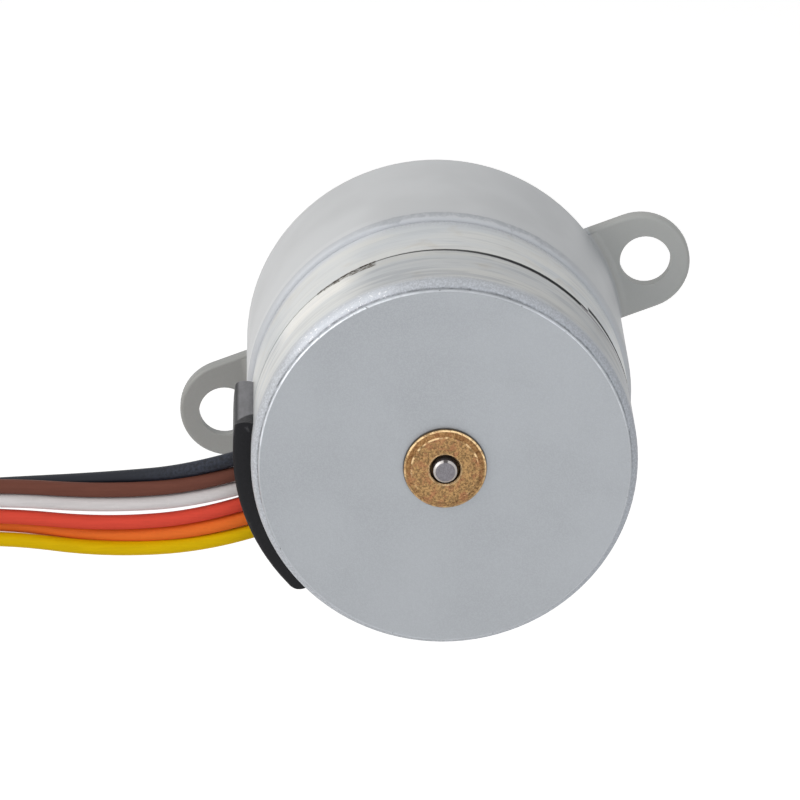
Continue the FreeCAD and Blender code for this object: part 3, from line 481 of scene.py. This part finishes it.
def cup_bands(finish, colours, broad, streaks):
    """Bands, streaks, stains and waves round the cups, with painted shade over the rear cup's right side.
    """
    bands = finish.noise(distortion=0.7, stretch=(0.12, 1.2, 0.12))
    stains = finish.noise(0.35, distortion=0.8)
    waves = finish.noise(distortion=0.5, stretch=(0.22, 2.2, 0.22))
    finish.base = finish.mix(finish.ramp(broad, 0.35, 0.65), colours.zinc, colours.zinc_bands)
    finish.coat(finish.ramp(bands, 0.5, 0.75, 0.0, 0.35), scaled(colours.zinc_bands, 0.9))
    finish.coat(finish.ramp(streaks, 0.52, 0.78, 0.0, 0.3), scaled(colours.zinc, 1.1))
    finish.coat(finish.ramp(stains, 0.55, 0.75, 0.0, 0.35), colours.stain)
    rear_cup = finish.ramp(finish.along, SEAM + 0.05, SEAM - 0.05)
    finish.darken(rear_cup * finish.ramp(waves, 0.44, 0.64), REAR_WAVES)
    finish.darken((1.0 - rear_cup) * finish.ramp(waves, 0.5, 0.68), FRONT_WAVES)
    # Painted shade: the rear cup darkens towards its right side
    right = rear_cup * finish.growing(RIGHT_RISES)
    finish.darken(right * finish.growing(SOFT_SHADE_SPREADS, 0.0, 0.8), SOFT_SHADE_ZINC)
    finish.darken(right * finish.growing(RIGHT_DARKENS), SHADED_ZINC)


def cup_lights(finish, colours, broad, streaks):
    """A painted highlight on the cups' upper left, a warm painted gleam behind the seam, and one wandering
    scratch.
    """
    # Painted highlight over the cups' upper left
    bright = finish.inside(finish.along, CUP_REAR + 1.3, HOUSING_REAR - 1.0, 0.5)
    bright = bright * finish.around(CUPS_BRIGHT, 15)
    finish.coat(bright * 0.38, scaled(colours.zinc, 1.35))
    # Painted gleam behind the seam, at the upper left
    gleam = finish.inside(finish.along, SEAM - 2.0, SEAM - 0.4, 0.8) * finish.around(SEAM_GLEAM, 10)
    finish.coat(gleam * finish.ramp(streaks, 0.3, 0.6, 0.3, 0.7), WARM_GLEAM)
    wandering = finish.along + (broad - 0.5) * 0.5
    scratch = finish.inside(wandering, CUP_REAR + 1.4, CUP_REAR + 1.65, 0.08)
    scratch = scratch * finish.around(CUP_SCRATCH, 3)
    finish.coat(scratch * 0.45, scaled(colours.zinc_corner, 0.75))


def cup_corners(finish, colours, grain):
    """Granular zinc on the cups' rounded ends, with a painted highlight and painted glints at the upper
    left, painted shade round the end plate, and a painted highlight where the front cup meets the housing.
    """
    zinc = colours.zinc_corner
    rear = finish.ramp(finish.along, CUP_REAR + 1.5, CUP_REAR + 0.4)
    corners = rear + finish.ramp(finish.along, HOUSING_REAR - 1.8, HOUSING_REAR - 0.3)
    # Painted highlight on the corners' upper left
    lit = finish.around(CORNERS_BRIGHT, 13)
    granular = finish.vary(grain, 0.35, 0.7, zinc, 0.88, 1.25)
    finish.coat(corners * 0.85, finish.mix(lit * 0.6, granular, scaled(zinc, 1.65)))
    # Painted glints, only where the corners are lit at the upper left
    sparkle = finish.ramp(finish.noise(5.0, roughness=0.7), 0.58, 0.66) * lit
    finish.coat(sparkle * rear, SPARKLE)
    # Painted shade in the crevice round the end plate
    crevice = finish.ramp(finish.radius, PLATE_RADIUS + 0.09, PLATE_RADIUS + 0.04) * rear
    crevice = crevice * finish.ramp(finish.noise(1.6, roughness=0.7), 0.4, 0.62, 0.12, 0.55)
    finish.coat(crevice, scaled(zinc, 0.15))
    # Painted highlight where the front cup meets the housing, stronger towards the left
    step = finish.ramp(finish.along, HOUSING_REAR - 0.4, HOUSING_REAR - 0.1)
    finish.coat(step * finish.growing(STEP_BRIGHTENS, 0.25, 0.8), scaled(colours.zinc, 1.25))
    return corners


def seam_gap(finish):
    """The open gap along the seam, wider to the right, which jumps forward along the locating tab."""
    gap = finish.band(SEAM, finish.growing(SEAM_OPENS, *SEAM_HALF_WIDTHS))
    gap = gap * finish.growing((TAB_TURN - 0.4, TAB_TURN + 0.1)) * finish.growing(SEAM_BEGINS)
    tab_gap = finish.band(SEAM + TAB_DEPTH, finish.growing(TAB_GAP_CLOSES, *TAB_HALF_WIDTHS))
    tab_gap = tab_gap * finish.around((TAB_LOWER_TURN, TAB_TURN - 0.8), 0.6)
    return gap * finish.growing(SEAM_DARKENS, 0.7, 1.0) + tab_gap


def seam_smear(finish):
    """Grease and dirt behind the seam at the upper left, with a ragged edge."""
    width = finish.growing(SMEAR_WIDENS, 0.25, 0.75)
    ragged = width + (finish.noise(2.2, roughness=0.7) - 0.5) * 0.6
    smear = finish.ramp(SEAM - finish.along - ragged, 0.08, -0.08) * finish.around(SEAM_SMEAR, 0.9)
    return smear * finish.ramp(finish.along, SEAM + 0.2, SEAM + 0.12)


def bright_zinc(colours):
    """Zinc on drawn steel: soft bands round the cups, granular corners, and a dark seam with dirt on it,
    with painted highlights at the upper left and painted shade on the rear cup's right and round the end
    plate.
    """
    finish = Finish("cup_steel")
    broad = finish.noise(detail=2.0, distortion=0.4, stretch=(0.13, 0.45, 0.13))
    streaks = finish.noise(stretch=(0.3, 8.0, 0.3))
    grain = finish.noise(8.0, roughness=0.6)
    cup_bands(finish, colours, broad, streaks)
    cup_lights(finish, colours, broad, streaks)
    corners = cup_corners(finish, colours, grain)
    gap = seam_gap(finish)
    finish.coat(gap, scaled(colours.zinc_corner, 0.06))
    smear = seam_smear(finish)
    finish.coat(smear * finish.ramp(finish.noise(4.0), 0.4, 0.6, 0.45, 1.0), colours.dirt)
    rough = 0.36 + streaks * 0.14 + corners * 0.16 + smear * 0.2 + gap * 0.5
    relief = finish.bump(grain, 0.008, finish.bump(streaks, 0.008))
    return finish.complete(rough, relief, Metallic=0.2 - smear * 0.2)


def housing_edge(finish, colours):
    """The housing's rear edge: a soft bluish painted shade along it, a painted highlight and a ragged line
    of painted shade at the step, and at the left a thin painted highlight, a broader painted sheen and a
    soft band of painted shade.
    """
    along = finish.along
    zinc = colours.zinc_corner
    # Soft bluish painted shade along the rear edge
    finish.coat(finish.ramp(along, HOUSING_REAR + 1.4, HOUSING_REAR + 0.2, 0.0, 0.3), zinc)
    # Painted highlight at the step, stronger towards the left
    step = finish.ramp(along, HOUSING_REAR + 0.2, HOUSING_REAR + 0.06)
    finish.coat(step * finish.growing(STEP_BRIGHTENS, 0.2, 0.7), scaled(zinc, 1.35))
    # A ragged line of painted shade at the step, over the top
    wandering = along + (finish.noise(0.9, roughness=0.7) - 0.5) * 0.5
    ragged_groove_shade = finish.inside(wandering, HOUSING_REAR + 0.2, HOUSING_REAR + 0.5, 0.12)
    ragged_groove_shade = ragged_groove_shade * finish.ramp(finish.noise(3.0, roughness=0.7), 0.3, 0.6, 0.3, 1.0)
    ragged_groove_shade = ragged_groove_shade * finish.around(STEP_GROOVE_SHADE, 25)
    finish.coat(ragged_groove_shade * 0.7, scaled(zinc, 0.72))
    # At the left: a thin painted highlight, a broader painted sheen, and a soft band of painted shade
    left = finish.around(HOUSING_LEFT, 14)
    ridge_highlight = finish.inside(along, HOUSING_REAR + 0.75, HOUSING_REAR + 1.15, 0.4) * left
    sheen = finish.inside(along, HOUSING_REAR + 0.8, HOUSING_REAR + 3.0, 4.0) * left
    finish.coat(ridge_highlight * 0.4 + sheen * 0.45, scaled(colours.casting, 1.18))
    groove_shade = finish.inside(along, HOUSING_REAR + 0.1, HOUSING_REAR + 0.4, 0.25) * left
    finish.coat(groove_shade * 0.5, scaled(zinc, 1.1))


def housing_ears(finish, colours):
    """Plain faces of the ears, with painted shade on the left one, and a soft painted shade on the housing
    beside them.
    """
    # Painted shade on the housing beside both ears
    beside = finish.around(RIGHT_EAR, 8) + finish.around(LEFT_EAR, 8)
    finish.darken(beside * finish.ramp(finish.along, EAR_BACK - 7.0, EAR_BACK - 0.5), EAR_SHADE)
    ears = finish.ramp(finish.along, EAR_BACK - 1.8, EAR_BACK - 0.9)
    ears = ears * finish.ramp(finish.radius, HOUSING_RADIUS, HOUSING_RADIUS + 0.2)
    # Painted shade: the left ear is darker
    left = finish.ramp(finish.across, *LEFT_EAR_DARKENS)
    finish.coat(ears, finish.mix(left, colours.ear, scaled(colours.ear, 0.8)))
    return ears


def tumbled_casting(colours):
    """Zinc casting, tumbled to a soft matte grey on its round side and plain on the ears."""
    finish = Finish("cast_zinc", metallic=0.15)
    grain = finish.noise(9.0, roughness=0.6)
    cloud = finish.noise(0.18, detail=2.0)
    finish.base = finish.vary(cloud, 0.35, 0.65, colours.casting, 0.97, 1.03)
    housing_edge(finish, colours)
    ears = housing_ears(finish, colours)
    finish.coat(finish.ramp(grain, 0.4, 0.7, 0.0, 0.1) * (1.0 - ears * 0.6), scaled(colours.casting, 1.15))
    return finish.complete(0.5 + grain * 0.15, finish.bump(grain, 0.004))


def bush_edges(finish, colours, upper):
    """Edges of a bush: rubbed to gold at the bevel, the rim and the mouth, with the bevel and rim stronger
    on the upper half as a painted highlight, and painted shade on the wall below the rim and in the bore.
    """
    radius = finish.radius
    rubs = finish.noise(1.8, roughness=0.7)
    bevel = finish.inside(radius, BUSH_BEVEL - 0.05, BUSH_BEVEL + 0.02, 0.04) * upper
    bevel = bevel * finish.ramp(rubs, 0.48, 0.6, 0.0, 0.8)
    rim = finish.ramp(radius, BUSH_RADIUS - 0.14, BUSH_RADIUS - 0.08) * upper
    rim = rim * finish.ramp(rubs, 0.4, 0.58, 0.15, 1.0)
    mouth = finish.ramp(radius, BUSH_MOUTH + 0.125, BUSH_MOUTH + 0.065)
    mouth = mouth * finish.ramp(rubs, 0.35, 0.55, 0.2, 0.8)
    mouth = mouth * finish.ramp(finish.along, REAR_FACE - 0.32, REAR_FACE - 0.4)
    finish.coat(bevel.either(rim).either(mouth), RUBBED_BRONZE)
    # Painted shade on the flange's wall below the rim and inside the bore
    wall = finish.inside(finish.along, REAR_FACE - 0.24, REAR_FACE + 0.1, 0.05)
    wall = wall * finish.ramp(radius, BUSH_RADIUS - 0.1, BUSH_RADIUS - 0.04)
    bore = finish.ramp(radius, BUSH_MOUTH + 0.045, BUSH_MOUTH + 0.025)
    bore = bore * finish.ramp(finish.along, REAR_FACE - 0.36, REAR_FACE - 0.25)
    finish.coat(wall.either(bore) * 0.85, scaled(colours.bronze, 0.1))


def sintered_bronze(colours):
    """Pressed bronze powder: gold and brown grains, reddish patches, dark pores and rubbed edges, with a
    painted highlight on the upper half of the edges and painted shade below the rim and in the bore.
    """
    finish = Finish("bronze", metallic=0.7)
    bronze = colours.bronze
    grains = finish.noise(6.5, detail=4.0, roughness=0.7)
    patches = finish.noise(2.0, roughness=0.6, distortion=0.5)
    pores = finish.noise(8.0, detail=2.0, roughness=0.6)
    # Grows towards the top: it makes the rubbed gold of the bevel and rim a painted highlight there, and
    # the bevel's darker brown stronger there
    upper = finish.ramp(finish.up, -1.4, 1.0, 0.25, 1.0)
    finish.base = finish.vary(grains, 0.38, 0.62, bronze, 0.5, 1.2)
    finish.coat(finish.ramp(patches, 0.48, 0.66, 0.0, 0.55), scaled(bronze, 0.95, 0.62, 0.75))
    bevel = finish.inside(finish.radius, BUSH_BEVEL + 0.05, BUSH_RADIUS - 0.14, 0.05) * upper
    finish.coat(bevel * finish.ramp(grains, 0.4, 0.65, 0.8, 0.35), scaled(bronze, 0.5, 0.36, 0.24))
    finish.coat(finish.ramp(pores, 0.57, 0.68, 0.0, 0.75), scaled(bronze, 0.32, 0.2, 0.12))
    bush_edges(finish, colours, upper)
    height = grains - finish.ramp(pores, 0.55, 0.67, 0.0, 0.6)
    return finish.complete(0.36 + grains * 0.2, finish.bump(height, 0.035))


def rotor_steel(colours):
    """Ground steel with fine turning marks, a dull sawn end, and a chamfer round it painted bright as a
    reflection, darker over a stretch near the top.
    """
    finish = Finish("shaft_steel", metallic=0.9)
    marks = finish.noise(stretch=TURNING_MARKS)
    grain = finish.noise(9.0, roughness=0.6)
    finish.base = finish.vary(marks, 0.35, 0.65, colours.steel, 0.9, 1.08)
    end = finish.ramp(finish.along, SHAFT_END + 0.04, SHAFT_END + 0.01)
    finish.coat(end, finish.vary(grain, 0.35, 0.65, colours.steel, 0.36, 0.5))
    # Painted reflection: the chamfer is bright, but darker over a stretch near the top
    chamfer = finish.inside(finish.along, SHAFT_END + 0.03, SHAFT_END + 0.14, 0.02)
    finish.coat(chamfer, finish.mix(finish.around(CHAMFER_DARKER, 6), BRIGHT_CHAMFER, DARK_CHAMFER))
    rough = 0.24 + marks * 0.14 + (end + chamfer) * 0.2
    return finish.complete(rough, finish.bump(marks, 0.004))


def ground_steel(name, colour, stretch=TURNING_MARKS, metallic=0.95, roughness=0.3):
    """Metal with fine turning or rolling marks."""
    finish = Finish(name, metallic=metallic)
    marks = finish.noise(stretch=stretch)
    finish.base = finish.vary(marks, 0.35, 0.65, colour, 0.9, 1.08)
    return finish.complete(roughness - 0.06 + marks * 0.14, finish.bump(marks, 0.004))


def moulding(name, colour, roughness=0.45, depth=0.012):
    """Moulded plastic with a fine spark-eroded skin and faint flow clouds."""
    finish = Finish(name)
    skin = finish.noise(10.0, roughness=0.6)
    flow = finish.noise(0.3, detail=2.0)
    finish.base = finish.vary(flow, 0.3, 0.7, colour, 0.96, 1.04)
    finish.coat(finish.ramp(skin, 0.45, 0.75, 0.0, 0.15), scaled(colour, 1.3))
    return finish.complete(roughness - 0.06 + skin * 0.14, finish.bump(skin, depth))


def cover_moulding(colours):
    """Black nylon with a satin skin, painted a blotchy lighter grey on its upper end as a highlight, and
    rubbed along its edges.
    """
    finish = Finish("cover_plastic", Specular_IOR_Level=0.17)
    skin = finish.noise(8.0, roughness=0.6)
    scuffs = finish.noise(1.4, roughness=0.65, stretch=(1.0, 0.35, 1.0))
    finish.base = colours.cover
    finish.coat(finish.ramp(skin, 0.4, 0.75, 0.0, 0.5), scaled(colours.cover, 1.6))
    # Painted highlight on the cover's upper end, which faces up
    slanted = finish.along - COVER_REAR - (COVER_RADIUS - finish.radius) * 1.2
    upper_end = finish.around(COVER_END, 0.5) * finish.ramp(slanted, 0.25, 0.55)
    finish.coat(upper_end, finish.vary(scuffs, 0.3, 0.7, colours.scuff_and_highlight, 1.0, 1.35))
    rubbed = finish.ramp(scuffs, 0.6, 0.72, 0.0, 0.3) * finish.around(COVER_RUBBED, 2.0)
    finish.coat(rubbed, colours.scuff_and_highlight)
    rough = 0.4 + skin * 0.16 + upper_end * 0.1
    return finish.complete(rough, finish.bump(skin, 0.02))


def winding(colours):
    """Enamelled copper wire, wound in close turns round the bobbin."""
    finish = Finish("copper_wire", metallic=0.85, Coat_Weight=0.4, Coat_Roughness=0.2)
    turns = finish.node("ShaderNodeTexWave", {"bands_direction": "Y"}, {
        "Vector": finish.place, "Scale": 1.6, "Distortion": 0.6, "Detail": 1.0}, output=1)
    patches = finish.noise(0.8, detail=2.0)
    finish.base = finish.mix(turns, scaled(colours.copper, 0.45), colours.copper)
    finish.coat(finish.ramp(patches, 0.4, 0.7, 0.0, 0.4), scaled(colours.copper, 0.7))
    return finish.complete(0.3 + patches * 0.1, finish.bump(turns, 0.06))


def insulation(name, colour):
    """Soft vinyl on a lead, with faint drawing lines, and dust with a painted sheen that grows towards the
    cover, strongest on the black.
    """
    black = name == "black"
    finish = Finish("insulation_" + name, Specular_IOR_Level=0.25 if black else 0.06)
    lines = finish.noise(detail=2.0, stretch=(0.5, 6.0, 6.0))
    dust = finish.noise(5.0, roughness=0.6)
    finish.base = finish.vary(lines, 0.3, 0.7, colour, 0.95, 1.04)
    finish.coat(finish.ramp(dust, 0.55, 0.8, 0.0, 0.3), scaled(colour, 1.25))
    # Dust with a painted sheen: the lead grows paler towards the cover
    paler = finish.ramp(finish.across, *LEADS_PALER) * finish.ramp(dust, 0.3, 0.7)
    finish.coat(paler * 0.5, scaled(colour, 5.0 if black else 1.05))
    return finish.complete(0.4 + dust * 0.16, finish.bump(dust, 0.006))


def dress(material, *names):
    """Give CAD nodes a finish."""
    for name in names:
        mesh = NODES[name].data
        mesh.materials.clear()
        mesh.materials.append(material)


class MOTOR_OT_leads(bpy.types.Operator):
    """Lay the six leads from the cover to the connector, and finish the connector"""

    bl_idname = "motor.leads"
    bl_label = "Leads and connector"

    def rank(self, index):
        """A lead's place in the row, counted up from the row's middle."""
        return (len(LEADS) - 1) / 2 - index

    def leaving(self, index, reach):
        """A lead's point at that distance from the motor axis, on its straight way out of the cover."""
        place = self.rank(index) * EXIT_PITCH
        row = LEAD_OUT - math.pi / 2
        across = reach * math.cos(LEAD_OUT) + place * math.cos(row)
        up = reach * math.sin(LEAD_OUT) + place * math.sin(row)
        return Vector((across, SEAM, up))

    def route(self, index):
        """A lead's points from the cover to its contact, in metres."""
        points = [self.leaving(index, reach) for reach in (LEAD_START, LEAD_START + LEAD_STRAIGHT)]
        for across, up, direction, pitch, depth in BUNDLE:
            side = math.radians(direction)
            back = depth if index % 2 == 0 else 0.0
            step = Vector((math.cos(side), 0, math.sin(side))) * (self.rank(index) * pitch)
            points.append(Vector((across, SEAM + back, up)) + step)
        for point, (higher, deeper) in zip(points[1:], LEAD_SHIFTS[LEADS[index]]):
            point += Vector((0, deeper, higher))
        return [point * MM for point in points]

    def curve(self, index, diameter):
        """A lead's round curve along its route."""
        curve = bpy.data.curves.new("insulated_" + LEADS[index], "CURVE")
        curve.dimensions = "3D"
        curve.bevel_depth = diameter / 2
        curve.bevel_resolution = 7
        curve.resolution_u = 16
        curve.use_fill_caps = True
        spline = curve.splines.new("NURBS")
        points = self.route(index)
        spline.points.add(len(points) - 1)
        for knot, point in zip(spline.points, points):
            knot.co = (*point, 1.0)
        spline.order_u = 3
        spline.use_endpoint_u = True
        return curve

    def execute(self, context):
        metals = context.scene.motor_metals
        plastics = context.scene.motor_plastics
        diameter = context.scene.motor_leads.diameter
        dress(moulding("connector_plastic", plastics.connector, roughness=0.4), "connector_housing")
        dress(ground_steel("contact_metal", metals.contact, stretch=(4, 4, 4)), "connector_contacts")
        for index, name in enumerate(LEADS):
            curve = self.curve(index, diameter)
            curve.materials.append(insulation(name, getattr(plastics, name)))
            wire = bpy.data.objects.new("insulated_lead_" + name, curve)
            context.scene.collection.objects.link(wire)
            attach(wire, "motor_frame")
            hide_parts("lead_" + name)
        return {"FINISHED"}


class MOTOR_OT_stator(bpy.types.Operator):
    """Finish the cups, the end plate, the cover and what they hold, and the bushes"""

    bl_idname = "motor.stator"
    bl_label = "Stator and wire cover"

    def execute(self, context):
        metals = context.scene.motor_metals
        plastics = context.scene.motor_plastics
        dress(plated_plate(metals), "rear_end_plate")
        dress(bright_zinc(metals), "rear_stator_cup", "front_stator_cup")
        yokes = ground_steel(
            "yoke_steel", scaled(metals.steel, 0.7), stretch=(1, 4, 1), metallic=0.6, roughness=0.5)
        dress(yokes, "rear_inner_yoke", "front_inner_yoke", "gear_plate")
        dress(moulding("bobbin_plastic", plastics.bobbin), "rear_bobbin", "front_bobbin")
        dress(winding(metals), "rear_coil", "front_coil")
        dress(ground_steel("pin_metal", metals.pin, stretch=(6, 6, 6)), "terminal_pins")
        dress(cover_moulding(plastics), "wire_cover")
        dress(sintered_bronze(metals), "rear_bush", "front_bush", "output_bush")
        return {"FINISHED"}


class MOTOR_OT_rotor(bpy.types.Operator):
    """Finish the rotor with its magnet and pinion, and the washers"""

    bl_idname = "motor.rotor"
    bl_label = "Rotor"

    def execute(self, context):
        metals = context.scene.motor_metals
        plastics = context.scene.motor_plastics
        dress(rotor_steel(metals), "rotor_shaft")
        dress(moulding("magnet", plastics.magnet, roughness=0.55, depth=0.03), "rotor_magnet")
        dress(moulding("hub_plastic", plastics.hub, roughness=0.5), "rotor_hub")
        washers = moulding("washer_plastic", plastics.washer, roughness=0.4)
        dress(washers, "rear_thrust_washer", "front_thrust_washer", "output_washer")
        dress(ground_steel("pinion_brass", metals.brass), "motor_pinion")
        return {"FINISHED"}


class MOTOR_OT_gearbox(bpy.types.Operator):
    """Finish the gearbox housing, its gears and its output"""

    bl_idname = "motor.gearbox"
    bl_label = "Gearbox"

    def execute(self, context):
        metals = context.scene.motor_metals
        plastics = context.scene.motor_plastics
        dress(tumbled_casting(metals), "gearbox_housing")
        dress(moulding("gear_plastic", plastics.gear, roughness=0.4), "first_gear", "second_gear")
        gear_steel = ground_steel(
            "gear_steel", scaled(metals.steel, 0.9), stretch=(2, 9, 2), roughness=0.38)
        dress(gear_steel, "first_gear_pin", "second_gear_pin", "output_gear")
        dress(ground_steel("output_steel", metals.output), "output_shaft")
        dress(ground_steel("ring_steel", metals.ring, stretch=(2, 6, 2)), "retaining_ring")
        return {"FINISHED"}


class MOTOR_OT_stage(bpy.types.Operator):
    """Set the camera, the pale floor, the lamps and the white surroundings"""

    bl_idname = "motor.stage"
    bl_label = "Studio stage"

    def camera(self, context, settings):
        flat = math.cos(settings.elevation)
        back = Vector((
            math.sin(settings.azimuth) * flat, -math.cos(settings.azimuth) * flat,
            math.sin(settings.elevation)))
        lens = bpy.data.cameras.new("photo_camera")
        lens.sensor_width = 36.0
        lens.lens = settings.lens
        lens.clip_start = 0.01
        lens.clip_end = 50.0
        camera = bpy.data.objects.new("photo_camera", lens)
        camera.location = Vector(settings.target) + back * settings.distance
        camera.rotation_mode = "QUATERNION"
        camera.rotation_quaternion = (-back).to_track_quat("-Z", "Y")
        context.scene.collection.objects.link(camera)
        context.scene.camera = camera

    def lamp(self, context, name, power):
        """A round lamp that points at the middle of the cups."""
        place, width, tint = LAMPS[name]
        light = bpy.data.lights.new(name + "_lamp", "AREA")
        light.shape = "DISK"
        light.size = width
        light.energy = power
        light.color = tint
        lamp = bpy.data.objects.new(name + "_lamp", light)
        lamp.location = place
        aim = Vector((0, SEAM * MM, 0)) - Vector(place)
        lamp.rotation_mode = "QUATERNION"
        lamp.rotation_quaternion = aim.to_track_quat("-Z", "Y")
        context.scene.collection.objects.link(lamp)

    def seen(self, nodes):
        """One for rays that show the surroundings, in the picture and in reflections."""
        rays = nodes.node("ShaderNodeLightPath").socket.node
        camera, glossy, through = (Flow(nodes, rays.outputs[name]) for name in SHOWING_RAYS)
        return camera.either(glossy).either(through)

    def surroundings(self, context, settings):
        """White where it is seen, and a softer light on matte surfaces."""
        world = bpy.data.worlds.new("white_room")
        world.use_nodes = True
        nodes = Nodes(world.node_tree)
        ambient = (settings.ambient,) * 3
        nodes.feed(
            world.node_tree.nodes["Background"].inputs["Color"],
            nodes.mix(self.seen(nodes), ambient, WHITE))
        context.scene.world = world

    def floor(self, context, settings):
        """A pale sheet just below the connector, which glows only where it is seen."""
        half = settings.floor / 2
        height = CAD_BOX[0].z - FLOOR_GAP
        mesh = bpy.data.meshes.new("floor")
        corners = ((-half, -half), (half, -half), (half, half), (-half, half))
        mesh.from_pydata([(*corner, height) for corner in corners], [], [(0, 1, 2, 3)])
        floor = bpy.data.objects.new("floor", mesh)
        context.scene.collection.objects.link(floor)
        finish = Finish("pale_floor", roughness=0.9, Base_Color=FLOOR_COLOUR, Emission_Strength=1.0)
        finish.set(Emission_Color=finish.mix(self.seen(finish), BLACK, FLOOR_GLOW))
        mesh.materials.append(finish.material)

    def execute(self, context):
        settings = context.scene.motor_stage
        self.camera(context, settings)
        self.floor(context, settings)
        self.surroundings(context, settings)
        for name in LAMPS:
            self.lamp(context, name, getattr(settings, name))
        context.scene.view_settings.view_transform = "Standard"
        return {"FINISHED"}


PIECES = (MOTOR_OT_leads, MOTOR_OT_stator, MOTOR_OT_rotor, MOTOR_OT_gearbox, MOTOR_OT_stage)


class MOTOR_PT_pieces(bpy.types.Panel):
    """Lists the motor's pieces and its stage"""

    bl_label = "Stepper motor"
    bl_idname = "MOTOR_PT_pieces"
    bl_space_type = "VIEW_3D"
    bl_region_type = "UI"
    bl_category = "Stepper motor"

    def draw(self, context):
        for piece in PIECES:
            self.layout.operator(piece.bl_idname)


SETTINGS = {
    "motor_metals": MetalColours,
    "motor_plastics": PlasticColours,
    "motor_leads": LeadSizes,
    "motor_stage": StageSettings,
}


def register():
    for name, group in SETTINGS.items():
        bpy.utils.register_class(group)
        setattr(bpy.types.Scene, name, PointerProperty(type=group))
    for piece in PIECES:
        bpy.utils.register_class(piece)
    bpy.utils.register_class(MOTOR_PT_pieces)


def unregister():
    bpy.utils.unregister_class(MOTOR_PT_pieces)
    for piece in reversed(PIECES):
        bpy.utils.unregister_class(piece)
    for name, group in SETTINGS.items():
        delattr(bpy.types.Scene, name)
        bpy.utils.unregister_class(group)


def main():
    register()
    bpy.ops.motor.stage()
    bpy.ops.motor.leads()
    bpy.ops.motor.stator()
    bpy.ops.motor.rotor()
    bpy.ops.motor.gearbox()


if __name__ == "__main__":
    main()
